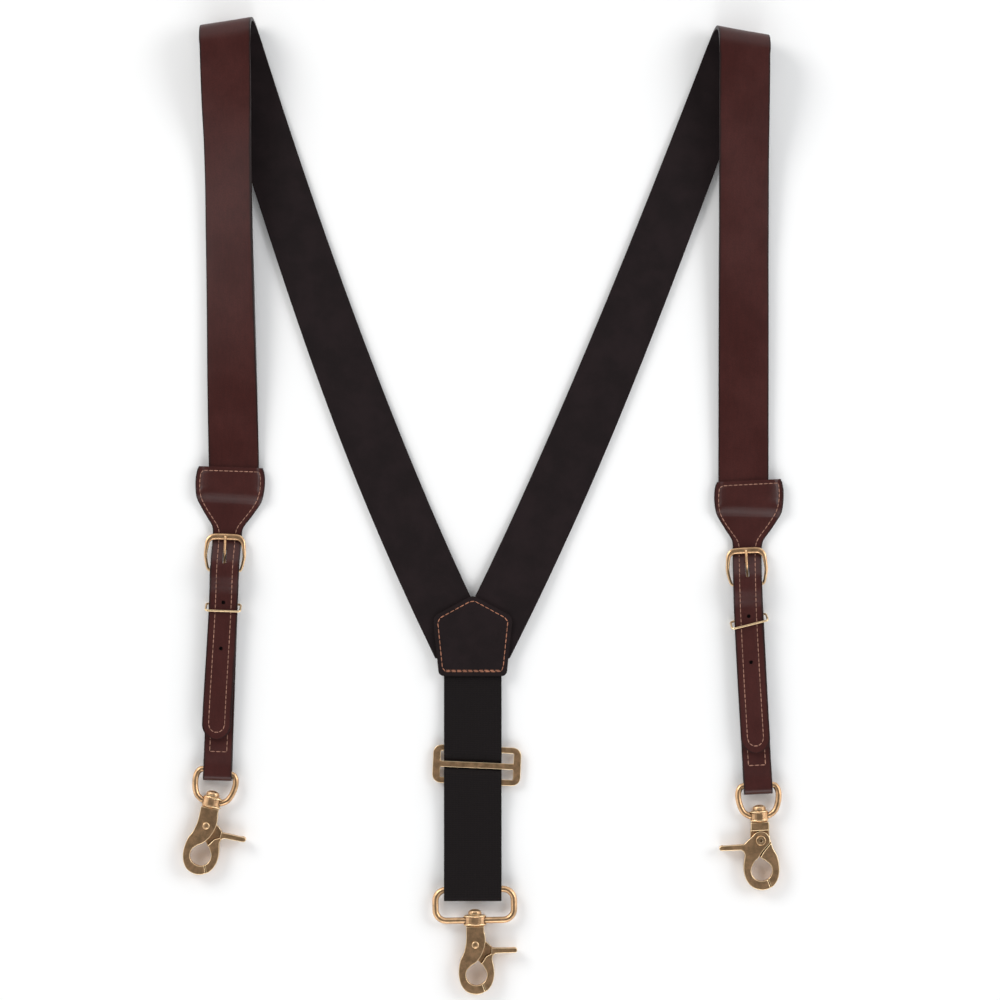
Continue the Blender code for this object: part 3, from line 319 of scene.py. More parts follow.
def grain_leather(name, lift=1.0, gloss=0.0):
    """Smooth dyed cowhide: mottled brown, a fine pebbled grain, rubbed darker at its edges."""
    settings = settings_of("leather")
    face = shade(settings.face, lift)
    made = Finish(name, Specular_IOR_Level=0.26, Coat_Roughness=0.3, Coat_Weight=0.08 + gloss)
    where = made.place()
    cloud = made.noise(where, 0.035, 4.0, 0.6)
    fibre = made.noise(made.place((1.0, 0.16, 1.0)), 0.55, 4.0, 0.65)
    pores = made.add("ShaderNodeTexVoronoi", {"feature": "SMOOTH_F1"},
                     {"Vector": where, "Scale": 1.35, "Smoothness": 0.5})
    fine = made.noise(where, 3.4, 3.0, 0.6)
    tone = cloud.ease(0.35, 0.68) * 0.6 + fibre.ease(0.3, 0.75) * 0.4
    body = made.mix(tone, shade(face, 0.80), shade(face, 1.22))
    body = made.mix(pores.ease(0.25, 0.7, 0.0, 0.35), body, shade(face, 0.62))
    from_edge, _ = made.run()
    ragged = from_edge + (fibre - 0.5) * 0.9
    made.colour(made.mix(ragged.ease(0.15, 1.5, 0.85, 0.0), body, shade(settings.edge, 1.3)))
    made.rough(0.33 + cloud.ease(0.3, 0.7) * 0.08 + fine * 0.08)
    made.relief(pores.ease(0.0, 0.75) * 0.55 + fine * 0.35 + fibre * 0.3, 0.16, settings.grain)
    return made.material


def lined_leather(name):
    """Near-black inner face: matt, faintly mottled, with short fibres and faint brown rubs."""
    settings = settings_of("leather")
    made = Finish(name, Specular_IOR_Level=0.15)
    where = made.place()
    cloud = made.noise(where, 0.06, 4.0, 0.6)
    speck = made.noise(where, 1.1, 5.0, 0.7)
    fibre = made.noise(made.place((1.0, 0.3, 1.0)), 2.2, 4.0, 0.7)
    body = made.mix(cloud.ease(0.34, 0.7), shade(settings.flesh, 0.78), shade(settings.flesh, 1.25))
    body = made.mix(speck.ease(0.52, 0.78, 0.0, 0.6), body, (0.022, 0.0135, 0.0125))
    from_edge, _ = made.run()
    made.colour(made.mix(from_edge.ease(0.1, 0.9, 0.8, 0.0), body, settings.edge))
    made.rough(0.56 + speck * 0.16)
    made.relief(speck * 0.6 + fibre * 0.5, 0.2, 0.26)
    return made.material


def burnished_edge(name):
    """Waxed cut edge, dark, with the plies' faint lines."""
    settings = settings_of("leather")
    made = Finish(name, Specular_IOR_Level=0.5)
    streak = made.noise(made.place((0.25, 0.25, 2.5)), 1.6, 4.0, 0.6)
    made.colour(made.mix(streak.ease(0.35, 0.7), settings.edge, shade(settings.edge, 2.1)))
    made.rough(0.38 + streak * 0.2)
    made.relief(streak, 0.1, 0.3)
    return made.material


def woven_elastic(name):
    """Black woven elastic: fine cords along it, crossed by the weft of each pick, with painted highlight on
    the cord tops and painted shade in the valleys between.
    """
    settings = settings_of("elastic")
    made = Finish(name, Specular_IOR_Level=0.12, Sheen_Weight=0.04, Sheen_Roughness=0.5)
    across, along = made.run()
    rib = (across * (math.tau / (settings.rib / MM))).wave()
    pick = (along * (math.tau / 1.25) + rib.size() * 1.3).wave()
    lint = made.noise(made.place(), 2.6, 4.0, 0.7)
    height = rib * 0.5 + pick * 0.4 + lint * 0.6
    # painted shade and painted highlight: the colour follows the weave's height, darker in its valleys and
    # lighter on its tops
    dark = shade(settings.colour, 0.75)
    body = made.mix(height.ease(-0.6, 1.2), dark, shade(settings.colour, 1.55))
    made.colour(made.mix(lint.ease(0.62, 0.85, 0.0, 0.35), body, (0.025, 0.022, 0.022)))
    made.rough(0.78 + lint * 0.12)
    made.relief(height, 0.16, 0.55)
    return made.material


def antique_brass(name):
    """Plated casting: dark patina in the hollows, brass rubbed bright along the edges."""
    settings = settings_of("brass")
    made = Finish(name, Metallic=1.0, Specular_IOR_Level=0.5)
    where = made.place()
    rub = made.attribute("rub")
    cloud = made.noise(where, 0.22, 4.0, 0.6)
    cast = made.noise(where, 1.6, 4.0, 0.6)
    scuff = made.noise(made.place((1.0, 0.2, 1.0)), 2.4, 3.0, 0.7)
    hollow = (rub + (cloud - 0.5) * 0.10).ease(0.50, 0.34)
    proud = (rub + (scuff - 0.5) * 0.16).ease(0.56, 0.74)
    body = made.mix(cloud.ease(0.3, 0.72), shade(settings.aged, 0.72), shade(settings.aged, 1.2))
    body = made.mix(cast.ease(0.58, 0.75, 0.0, 0.45), body, settings.dark)
    body = made.mix(hollow * 0.9, body, settings.dark)
    made.colour(made.mix(proud * 0.9, body, settings.bright))
    made.rough(0.30 + hollow * 0.22 + cast * 0.12 - proud * 0.06)
    made.relief(cast * 0.7 + scuff * 0.2, 0.09, 0.32)
    return made.material


def spring_steel(name):
    """Bare drawn spring wire, slightly oiled."""
    made = Finish(name, Metallic=1.0)
    drawn = made.noise(made.place((3.0, 3.0, 0.6)), 1.4, 3.0, 0.6)
    made.colour(made.mix(drawn.ease(0.3, 0.7), (0.30, 0.29, 0.28), (0.52, 0.51, 0.50)))
    made.rough(0.28 + drawn * 0.2)
    return made.material


def waxed_thread(name, rgb):
    """Twisted waxed thread, its tone mottled lighter and darker."""
    made = Finish(name, Specular_IOR_Level=0.35)
    where = made.place()
    twist = made.noise(where, 2.2, 3.0, 0.6)
    age = made.noise(where, 0.12, 3.0, 0.6)
    body = made.mix(age.ease(0.3, 0.7), shade(rgb, 0.62), shade(rgb, 1.12))
    made.colour(made.mix(twist.ease(0.4, 0.7, 0.0, 0.45), body, shade(rgb, 0.4)))
    made.rough(0.52 + twist * 0.2)
    made.relief(twist, 0.1, 0.5)
    return made.material


def tan_thread():
    return once("tab_thread", lambda name: waxed_thread(name, settings_of("stitch").tan))


def copper_thread():
    return once("yoke_thread", lambda name: waxed_thread(name, settings_of("stitch").copper))


def leather_set(face_up=True):
    """Face, back and edge of a strap; the lined side comes first when face_up is false."""
    grain = once("strap_grain", grain_leather)
    lined = once("lined_flesh", lined_leather)
    edge = once("burnished_edge", burnished_edge)
    return [grain, lined, edge] if face_up else [lined, grain, edge]


def tab_leather_set():
    grain = once("tab_grain", lambda name: grain_leather(name, 1.04, 0.10))
    return [grain, once("lined_flesh", lined_leather), once("burnished_edge", burnished_edge)]


# === modelling tools ======================================================================================

def take_up(thing):
    """Select one object alone."""
    if bpy.context.object and bpy.context.object.mode != "OBJECT":
        bpy.ops.object.mode_set(mode="OBJECT")
    bpy.ops.object.select_all(action="DESELECT")
    if thing:
        thing.hide_set(False)
        thing.select_set(True)
        bpy.context.view_layer.objects.active = thing
    return thing


def placed(name, data):
    """A new object in the scene."""
    thing = bpy.data.objects.new(name, data)
    bpy.context.scene.collection.objects.link(thing)
    return thing


class Bench:
    """Edit mode on one object, with everything in it selected or not."""

    def __init__(self, thing, action="SELECT"):
        self.thing = thing
        self.action = action

    def __enter__(self):
        take_up(self.thing)
        bpy.ops.object.mode_set(mode="EDIT")
        bpy.ops.mesh.select_mode(type="VERT")
        bpy.ops.mesh.select_all(action=self.action)
        return self.thing

    def __exit__(self, *trouble):
        bpy.ops.object.mode_set(mode="OBJECT")


def work(thing, kind, **settings):
    """Add one modifier and apply it."""
    take_up(thing)
    change = thing.modifiers.new(kind.title(), kind)
    for key, value in settings.items():
        setattr(change, key, value)
    bpy.ops.object.modifier_apply(modifier=change.name)
    return thing


def hand_over(piece, name, body, slot, *nodes):
    """Name a finished piece, give it to its body and let it stand for its CAD nodes."""
    piece.name = name
    piece.data.name = name
    if body:
        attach(piece, body)
    if nodes:
        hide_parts(*nodes)
    return piece


def points_of(mesh):
    flat = np.empty(len(mesh.vertices) * 3)
    mesh.vertices.foreach_get("co", flat)
    return flat.reshape(-1, 3)


def put_points(mesh, points):
    mesh.vertices.foreach_set("co", np.asarray(points, float).ravel())
    mesh.update()


def graded(table, at):
    """Smooth value at a place in a ((place, value), ...) table sorted by place, flat beyond its ends."""
    if at <= table[0][0]:
        return table[0][1]
    if at >= table[-1][0]:
        return table[-1][1]
    i = max(k for k, (place, _) in enumerate(table) if place <= at)
    start, stop = table[i], table[i + 1]
    before, after = table[max(i - 1, 0)], table[min(i + 2, len(table) - 1)]
    span = stop[0] - start[0]
    share = (at - start[0]) / span
    rise_in = (stop[1] - before[1]) / (stop[0] - before[0]) * span if i else 0.0
    rise_out = (after[1] - start[1]) / (after[0] - start[0]) * span if after is not stop else 0.0
    keep = share * share * (3 - 2 * share)
    bend = share * (1 - share)
    return start[1] + (stop[1] - start[1]) * keep + bend * ((1 - share) * rise_in - share * rise_out)


def share_of(value, low=0.0, high=1.0):
    """Value kept between two limits."""
    return min(max(value, low), high)


def smooth(points, per_span=6):
    """A smooth curve through points with per_span steps between each two."""
    nodes = [Vector(point) for point in points]
    ahead = nodes[1:] + [nodes[-1]]
    behind = [nodes[0]] + nodes[:-1]
    slopes = [(b - a) / 2 for a, b in zip(behind, ahead)]
    slopes[0] = nodes[1] - nodes[0]
    slopes[-1] = nodes[-1] - nodes[-2]
    curve = []
    for i in range(len(nodes) - 1):
        span = interpolate_bezier(nodes[i], nodes[i] + slopes[i] / 3,
                                  nodes[i + 1] - slopes[i + 1] / 3, nodes[i + 1], per_span + 1)
        curve += span[:-1]
    return curve + [nodes[-1]]


def arc(centre, radius, start, stop, steps):
    """Points on a circle, angles in degrees."""
    angles = [math.radians(start + (stop - start) * i / steps) for i in range(steps + 1)]
    return [Vector((centre[0] + radius * math.cos(a), centre[1] + radius * math.sin(a))) for a in angles]


def spread(route, step):
    """The same route with its long spans cut into steps."""
    out = [route[0]]
    for a, b in zip(route, route[1:]):
        cuts = max(1, math.ceil((b - a).length / step))
        out += [a.lerp(b, k / cuts) for k in range(1, cuts + 1)]
    return out


def row(centre, side, half, up):
    return {"centre": centre, "side": side, "half": half, "up": up}


def strip_rows(centres, normals, halves):
    """Rows of a strap that follows centres, its face turned to normals."""
    rows = []
    for i, (centre, normal, half) in enumerate(zip(centres, normals, halves)):
        ahead = centres[min(i + 1, len(centres) - 1)] - centres[max(i - 1, 0)]
        across = ahead.cross(normal).normalized()
        rows.append(row(centre, across, half, across.cross(ahead).normalized()))
    return rows


def side_rows(route, across, half, offset=0.0):
    """Rows of a strap drawn from the side as (along, height); across and half give its plan shape."""
    rows = []
    for i, point in enumerate(route):
        ahead = route[min(i + 1, len(route) - 1)] - route[max(i - 1, 0)]
        up = Vector((0, -ahead.y, ahead.x)).normalized()
        side = Vector((1, across(point.x - 0.5) - across(point.x + 0.5), 0)).normalized()
        rows.append(row(Vector((across(point.x), point.x, point.y)) + up * offset, side, half(point.x), up))
    return rows


def write_run(mesh, run):
    """Keep each vertex's edge distance and length, in metres, as the sheet's own map."""
    layer = mesh.uv_layers.active or mesh.uv_layers.new(name="run")
    layer.name = "run"
    corners = np.empty(len(mesh.loops), int)
    mesh.loops.foreach_get("vertex_index", corners)
    layer.data.foreach_set("uv", run[corners].ravel())


def band(rows, edge_lines, middle, materials, place, lift=None):
    """A sheet of leather or webbing over rows in millimetres, its map holding edge distance and length."""
    half_count = len(edge_lines) + middle
    columns = 2 * half_count
    take_up(None)
    bpy.ops.mesh.primitive_grid_add(x_subdivisions=columns, y_subdivisions=len(rows) - 1, size=2.0)
    sheet = bpy.context.object
    mesh = sheet.data
    flat = points_of(mesh)
    column_of = np.rint((flat[:, 0] + 1) / 2 * columns).astype(int)
    row_of = np.rint((flat[:, 1] + 1) / 2 * (len(rows) - 1)).astype(int)
    gone = [0.0]
    for a, b in zip(rows, rows[1:]):
        gone.append(gone[-1] + (b["centre"] - a["centre"]).length)
    out = np.empty_like(flat)
    run = np.empty((len(flat), 2))
    grid = []
    for i, line in enumerate(rows):
        half = line["half"]
        wide = half > edge_lines[-1] * 1.2
        inner = half - edge_lines[-1] if wide else half * 0.2
        squeeze = 1.0 if wide else half * 0.8 / edge_lines[-1]
        depths = [d * squeeze for d in edge_lines]
        depths += [half - inner * (1 - k / middle) for k in range(1, middle + 1)]
        spans = [depth - half for depth in depths] + [half - depth for depth in reversed(depths[:-1])]
        made = []
        for span in spans:
            depth = half - abs(span)
            point = line["centre"] + line["side"] * span
            if lift:
                point = point + line["up"] * lift(point, depth, gone[i])
            made.append((point, depth))
        grid.append(made)
    count = len(grid[0]) - 1
    for k in range(len(flat)):
        j = min(column_of[k], count)
        point, depth = grid[row_of[k]][j]
        out[k] = place @ (point * MM)
        run[k] = depth * MM, gone[row_of[k]] * MM
    put_points(mesh, out)
    write_run(mesh, run)
    for material in materials:
        mesh.materials.append(material)
    with Bench(sheet):
        bpy.ops.mesh.remove_doubles(threshold=0.000001)
    return sheet


def thicken(sheet, thick, rounding, offsets=(1, 2), segments=3):
    """Give a sheet its thickness and rub its edges round."""
    work(sheet, "SOLIDIFY", thickness=thick * MM, offset=0.0, use_even_offset=False,
         material_offset=offsets[0], material_offset_rim=offsets[1])
    work(sheet, "BEVEL", width=rounding, segments=segments, limit_method="ANGLE",
         angle_limit=math.radians(60))
    take_up(sheet)
    bpy.ops.object.shade_smooth_by_angle(angle=math.radians(50))
    return sheet


def slot_cutter(place, centre, radius, straight, low, high, materials):
    """A round-ended cutter, upright at a place, its walls finished as a burnished edge."""
    take_up(None)
    bpy.ops.mesh.primitive_cylinder_add(vertices=20, radius=radius, depth=high - low,
                                        location=(0, 0, (low + high) / 2))
    cutter = bpy.context.object
    points = points_of(cutter.data) + np.array((0, 0, (low + high) / 2))
    points[:, 1] += np.where(points[:, 1] > 0, straight, -straight)
    points += np.array((*centre, 0))
    cutter.location = (0, 0, 0)
    put_points(cutter.data, [place @ (Vector(p) * MM) for p in points])
    for material in materials:
        cutter.data.materials.append(material)
    for face in cutter.data.polygons:
        face.material_index = 2
    return cutter


def cut(piece, cutter):
    work(piece, "BOOLEAN", operation="DIFFERENCE", solver="EXACT", object=cutter)
    bpy.data.objects.remove(cutter)
    take_up(piece)
    bpy.ops.object.shade_smooth_by_angle(angle=math.radians(50))


def tree_of(piece):
    return BVHTree.FromObject(piece, bpy.context.evaluated_depsgraph_get())


def drop_onto(tree, spot, from_above):
    """Where a plan point in metres lands on a piece, and the way its surface faces."""
    way = Vector((0, 0, -1 if from_above else 1))
    start = Vector((spot.x, spot.y, 0.2 if from_above else -0.2))
    hit, normal, _, _ = tree.ray_cast(start, way)
    if hit is None:
        return None, None
    return hit, normal if normal.z * way.z < 0 else -normal


def paced(path, pitch):
    """Evenly spaced points along a plan path."""
    total = sum((b - a).length for a, b in zip(path, path[1:]))
    count = max(1, round(total / pitch))
    step = total / count
    out, gone, target = [path[0]], 0.0, step
    for a, b in zip(path, path[1:]):
        span = (b - a).length
        while gone + span >= target - 1e-9 and len(out) <= count:
            out.append(a.lerp(b, (target - gone) / span))
            target += step
        gone += span
    return out


def needle_holes(paths, pitch, place):
    """Plan positions in metres of the two ends of each stitch."""
    pairs = []
    for path in paths:
        marks = paced([Vector(p) for p in path], pitch)
        for a, b in zip(marks, marks[1:]):
            ends = [place @ (Vector((*a.lerp(b, share), 0)) * MM) for share in (0.11, 0.89)]
            pairs.append(ends)
    return pairs


def dent(sheet, pairs, depth, reach, downward=True):
    """Pull the leather in round each needle hole."""
    points = points_of(sheet.data)
    change = np.zeros(len(points))
    for ends in pairs:
        for end in ends:
            near = np.hypot(points[:, 0] - end.x, points[:, 1] - end.y)
            share = np.clip(1 - near / reach, 0, 1)
            change = np.maximum(change, share * share * (3 - 2 * share))
        middle = (ends[0] + ends[1]) / 2
        near = np.hypot(points[:, 0] - middle.x, points[:, 1] - middle.y)
        share = np.clip(1 - near / reach, 0, 1)
        change = np.maximum(change, share * 0.45)
    points[:, 2] += change * (-depth if downward else depth)
    put_points(sheet.data, points)


def one_stitch():
    """A laid stitch one unit long: a soft bar whose ends dip into the leather."""
    take_up(None)
    bpy.ops.mesh.primitive_uv_sphere_add(segments=6, ring_count=6, radius=0.5)
    stitch = bpy.context.object
    with Bench(stitch):
        bpy.ops.transform.rotate(value=math.pi / 2, orient_axis="Y", center_override=(0, 0, 0))
    points = points_of(stitch.data)
    reach = np.abs(points[:, 0]) * 2
    points[:, 2] -= 0.32 * reach ** 2
    put_points(stitch.data, points)
    bpy.ops.object.shade_smooth()
    return stitch


def sew(name, pairs, target, from_above, material, body, slot):
    """Lay a stitch over each pair of needle holes and join them to one piece."""
    width = settings_of("stitch").width
    tree = tree_of(target)
    master = one_stitch()
    master.data.materials.append(material)
    made = []
    for first, second in pairs:
        a, way_a = drop_onto(tree, first, from_above)
        b, way_b = drop_onto(tree, second, from_above)
        if a is None or b is None:
            continue
        up = (way_a + way_b).normalized()
        ahead = (b - a)
        long = ahead.length
        if long < 1e-5 or long > 0.008:
            continue
        ahead.normalize()
        side = up.cross(ahead).normalized()
        up = ahead.cross(side)
        middle = (a + b) / 2 + up * (width * 0.16)
        turn = Matrix((ahead * long * 1.16, side * width, up * width * 0.8)).transposed().to_4x4()
        copy = placed(name, master.data.copy())
        copy.data.transform(Matrix.Translation(middle) @ turn)
        made.append(copy)
    bpy.data.objects.remove(master)
    if not made:
        raise RuntimeError(f"no stitch of {name} lands on its piece")
    take_up(made[0])
    for copy in made:
        copy.select_set(True)
    bpy.ops.object.join()
    return hand_over(bpy.context.object, name, body, slot)


# === the straps ===========================================================================================

EDGE_CURL = 0.10
EDGE_CURL_REACH = 4.0
HELD_BY_YOKE = 130
STRAP_LINES = (0, 0.5, 1.1, 2.0, 3.4)

def heading(lean):
    """Plan direction of a run that goes down the table with a lean towards +X."""
    angle = math.radians(lean)
    return Vector((math.sin(angle), -math.cos(angle), 0))


def fold_stations(side):
    """Centre line and normals round the shoulder fold, from the back run below to the front run above."""
    slant = math.radians((side["front_lean"] + side["back_lean"]) / 2)
    drift = math.tan(math.radians(side["front_lean"] - side["back_lean"]) / 2)
    along = Vector((math.cos(slant), math.sin(slant), 0))
    outward = Vector((-math.sin(slant), math.cos(slant), 0))
    edge = Vector((*side["fold"], 0))
    core = edge - outward * (FOLD_RADIUS + STRAP_THICK / 2) + Vector((0, 0, FOLD_RADIUS + STRAP_THICK / 2))
    stations = []
    for i in range(33):
        angle = math.pi * (i / 32 - 0.5)
        radial = outward * math.cos(angle) + Vector((0, 0, math.sin(angle)))
        stations.append((core + radial * FOLD_RADIUS + along * (FOLD_RADIUS * drift * angle), radial))
    return stations


def back_run(side, fold_start, step):
    """Centre line from the yoke up to the fold, as one smooth bend lying on the table."""
    down = heading(side["yoke_lean"])
    inward = 1 if side["yoke_lean"] > 0 else -1
    beside = Vector((-down.y, down.x, 0)) * (-inward * STRAP_YOKE_WIDTH / 2)
    gate = Vector((YOKE_X, CROTCH_Y, 0)) + beside
    start = gate + down * (STRAP_YOKE_WIDTH * 1.2)
    end = Vector((fold_start.x, fold_start.y, 0))
    reach = (end - gate).length / 3
    bend = interpolate_bezier(gate, gate - down * reach, end + heading(side["back_lean"]) * reach, end,
                              int(3 * reach / step))
    tail_steps = int(STRAP_YOKE_WIDTH * 1.2 / step)
    return [start + (gate - start) * i / tail_steps for i in range(tail_steps)] + bend


def strap_rows(side, step):
    """Rows of one strap: back run, shoulder fold and front run down to its end inside the shield."""
    folded = fold_stations(side)
    centres, normals, halves = [], [], []
    run = back_run(side, folded[0][0], step)[:-1]
    total = sum((b - a).length for a, b in zip(run, run[1:]))
    gone = 0.0
    for i, point in enumerate(run):
        gone += (point - run[i - 1]).length if i else 0.0
        lift = graded(((STRAP_YOKE_WIDTH * 1.35, STRAP_LAYER), (110, STRAP_THICK / 2)), gone)
        centres.append(Vector((point.x, point.y, lift)))
        normals.append(Vector((0, 0, -1)))
        halves.append(graded(((110, STRAP_YOKE_WIDTH), (total, STRAP_FRONT_WIDTH + 0.8)), gone) / 2)
    for centre, radial in folded:
        centres.append(centre)
        normals.append(radial)
        halves.append(STRAP_FRONT_WIDTH / 2 + 0.3)
    top = folded[-1][0]
    down = heading(side["front_lean"])
    run_length = FRONT_RUN + side["extra_run"]
    steps = int(run_length / step)
    across = Vector((-down.y, down.x, 0))
    for i in range(1, steps + 1):
        roll = math.radians(graded(side["roll"], i / steps))
        centre = Vector((top.x, top.y, 0)) + down * (run_length * i / steps)
        centre.z = graded(side["height"], i / steps)
        centres.append(centre)
        normals.append(Vector((0, 0, 1)) * math.cos(roll) - across * math.sin(roll))
        halves.append(STRAP_FRONT_WIDTH / 2)
    return strip_rows(centres, normals, halves)


def strap(name, side):
    """One plain leather strap with rubbed, burnished edges."""
    settings = settings_of("leather")
    rows = strap_rows(side, settings.row_step / MM)
    wave = settings.waviness / MM
    end_y = rows[-1]["centre"].y

    def lift(point, depth, gone):
        loose = share_of((point.z - STRAP_THICK / 2 - 0.4) / 2.0) if gone > HELD_BY_YOKE else 0.0
        held = share_of((point.y - end_y - 12) / 30)
        sway = noise.noise(Vector((point.x, point.y, 0)) * 0.028) * wave * 1.6 * loose * held
        curl = -EDGE_CURL * max(0.0, 1 - depth / EDGE_CURL_REACH) ** 2
        return sway + curl

    sheet = band(rows, STRAP_LINES, 5, leather_set(), WORLD, lift)
    inward = 1 if side["yoke_lean"] > 0 else -1
    cuts = (((YOKE_X - inward * GAP / 2, 0, 0), (inward, 0, 0)), ((0, ELASTIC_TOP_Y + GAP, 0), (0, -1, 0)))
    for spot, way in cuts:
        take_up(sheet)
        near = (CROTCH_Y + 40) * MM + TABLE_SHIFT.y
        for face in sheet.data.polygons:
            face.select = max(sheet.data.vertices[v].co.y for v in face.vertices) < near
        bpy.ops.object.mode_set(mode="EDIT")
        bpy.ops.mesh.select_mode(type="FACE")
        bpy.ops.mesh.bisect(plane_co=WORLD @ (Vector(spot) * MM), plane_no=way, clear_outer=True,
                            use_fill=False)
        bpy.ops.object.mode_set(mode="OBJECT")
    thicken(sheet, STRAP_THICK, settings.edge_round)
    return hand_over(sheet, name, "webbing", "strap_leather", name)


# === the yoke =============================================================================================

YOKE_SEAM = 2.5
YOKE_SECOND_ROW = 0.75
YOKE_SECOND_HALF = 16.4
PATCH_CORNER = 2.6
PATCH_GRID = 64
PATCH_GRID_SIZE = 50
RIM_REACH = 2.2
RIM_FALL = 0.16
ELASTIC_FALL = 0.22
SEAM_FALL = 0.12

def inset_corners(corners, depth):
    """The same outline drawn in by a depth."""
    corners = [Vector(c) for c in corners]
    middle = sum(corners, Vector((0, 0))) / len(corners)
    out = []
    for i, corner in enumerate(corners):
        before = (corner - corners[i - 1]).normalized()
        after = (corners[(i + 1) % len(corners)] - corner).normalized()
        bisector = (after - before).normalized()
        if bisector.dot(middle - corner) < 0:
            bisector = -bisector
        out.append(corner + bisector * (depth / abs(before.cross(bisector))))
    return out


def patch_corners():
    return [Vector((x + YOKE_X, y)) for x, y in PATCH_CORNERS]


def rounded(corners, cut_back, steps=6):
    """Corners rounded into short bends."""
    points = []
    for i, here in enumerate(corners):
        enter = here + (corners[i - 1] - here).normalized() * cut_back
        leave = here + (corners[(i + 1) % len(corners)] - here).normalized() * cut_back
        points += interpolate_bezier(enter, enter.lerp(here, 0.55), leave.lerp(here, 0.55), leave, steps)
    return [Vector(p[:2]) for p in points]


def yoke_seams():
    """The stitched outline, with its bottom row sewn twice."""
    ring = rounded(inset_corners(patch_corners(), YOKE_SEAM), 1.4, 3)
    again_y = PATCH_BASE_Y + YOKE_SEAM + YOKE_SECOND_ROW
    again = [Vector((YOKE_X + side * YOKE_SECOND_HALF, again_y)) for side in (-1, 1)]
    return [ring + [ring[0]], again]


def edge_distance(point, corners):
    """How far a plan point is inside an outline."""
    return min(abs((corners[(i + 1) % len(corners)] - a).normalized().cross(point - a))
               for i, a in enumerate(corners))


def patch(name, layer_z, inner):
    """A five-sided leather patch, pressed down over the straps and elastic that it holds."""
    settings = settings_of("leather")
    corners = patch_corners()
    low_x, high_x = min(c.x for c in corners), max(c.x for c in corners)
    centre = Vector(((low_x + high_x) / 2, (PATCH_TIP_Y + PATCH_BASE_Y) / 2))
    take_up(None)
    bpy.ops.mesh.primitive_grid_add(x_subdivisions=PATCH_GRID, y_subdivisions=PATCH_GRID,
                                    size=PATCH_GRID_SIZE * MM,
                                    location=WORLD @ (Vector((*centre, layer_z)) * MM))
    sheet = bpy.context.object
    bpy.ops.object.transform_apply(location=True, rotation=False, scale=False)
    outline = rounded(corners, PATCH_CORNER)
    for a, b in zip(outline, outline[1:] + outline[:1]):
        way = Vector(((b - a).y, -(b - a).x, 0))
        way.normalize()
        if way.dot(Vector((*(centre - a), 0))) > 0:
            way = -way
        with Bench(sheet):
            bpy.ops.mesh.bisect(plane_co=WORLD @ (Vector((*a, layer_z)) * MM), plane_no=way,
                                clear_outer=True, use_fill=False)
    out = 1 if inner else -1
    points = points_of(sheet.data)
    run = np.empty((len(points), 2))
    for k, point in enumerate(points):
        plan = (Vector(point) - TABLE_SHIFT) / MM
        flat = Vector((plan.x, plan.y))
        depth = edge_distance(flat, corners)
        rim = max(0.0, 1 - depth / RIM_REACH)
        over_elastic = share_of((ELASTIC_TOP_Y - plan.y) / 4.0 + 0.5)
        seam = max(0.0, 1 - abs(plan.x - YOKE_X) / 1.6) * (1 - over_elastic)
        uneven = noise.noise(Vector((plan.x, plan.y, 7.0 * out)) * 0.11) * 0.14
        fall = RIM_FALL * rim ** 2 + ELASTIC_FALL * over_elastic + SEAM_FALL * seam
        points[k][2] += (uneven - fall) * out * MM * (1.0 if inner else 0.25)
        run[k] = depth * MM, plan.y * MM
    put_points(sheet.data, points)
    write_run(sheet.data, run)
    for material in (leather_set(False) if inner else leather_set()):
        sheet.data.materials.append(material)
    pairs = needle_holes(yoke_seams(), settings_of("stitch").yoke_pitch / MM, WORLD)
    dent(sheet, pairs, settings_of("stitch").dent * 0.8, 0.0012, inner)
    if not inner:
        with Bench(sheet):
            bpy.ops.mesh.flip_normals()
    thicken(sheet, PATCH_THICK, settings.edge_round, (0, 2))
    sew(f"{name}_stitches", pairs, sheet, inner, copper_thread(), "webbing",
        "inner_leather" if inner else "strap_leather")
    return hand_over(sheet, name, "webbing", "inner_leather" if inner else "strap_leather", name)


# === the elastic ==========================================================================================

SLIDER_LOW = ELASTIC_THICK + 0.1 + GAP
SLIDER_HIGH = SLIDER_LOW + SLIDER_THICK
BAR_PITCH = (SLIDER_LENGTH - SLIDER_BAR) / 2
UNDER_BAR_Z = SLIDER_LOW - GAP - ELASTIC_THICK / 2
OVER_BAR_Z = SLIDER_HIGH + GAP + ELASTIC_THICK / 2
OVER_WRAP_Z = OVER_BAR_Z + ELASTIC_THICK + GAP


def upper_route():
    """Side view of the elastic from the yoke down over the slider's first bar and under its middle one."""
    top = ELASTIC_TOP_Y - SLIDER_Y
    window = BAR_PITCH / 2
    rise = (OVER_BAR_Z - UNDER_BAR_Z) / 2
    middle = (OVER_BAR_Z + UNDER_BAR_Z) / 2
    route = smooth(((top, STRAP_LAYER), (top - 18, STRAP_LAYER), (BAR_PITCH + 16, 3.4),
                    (BAR_PITCH + 6, OVER_BAR_Z - 0.1), (BAR_PITCH, OVER_BAR_Z)), 10)[:-1]
    route += [Vector(p) for p in ((window + rise + 0.5, OVER_BAR_Z), (window + rise - 0.1, OVER_BAR_Z - 0.35),
                                  (window, middle), (window - rise + 0.1, UNDER_BAR_Z + 0.35),
                                  (window - rise - 0.5, UNDER_BAR_Z), (GAP / 2, UNDER_BAR_Z))]
    return route


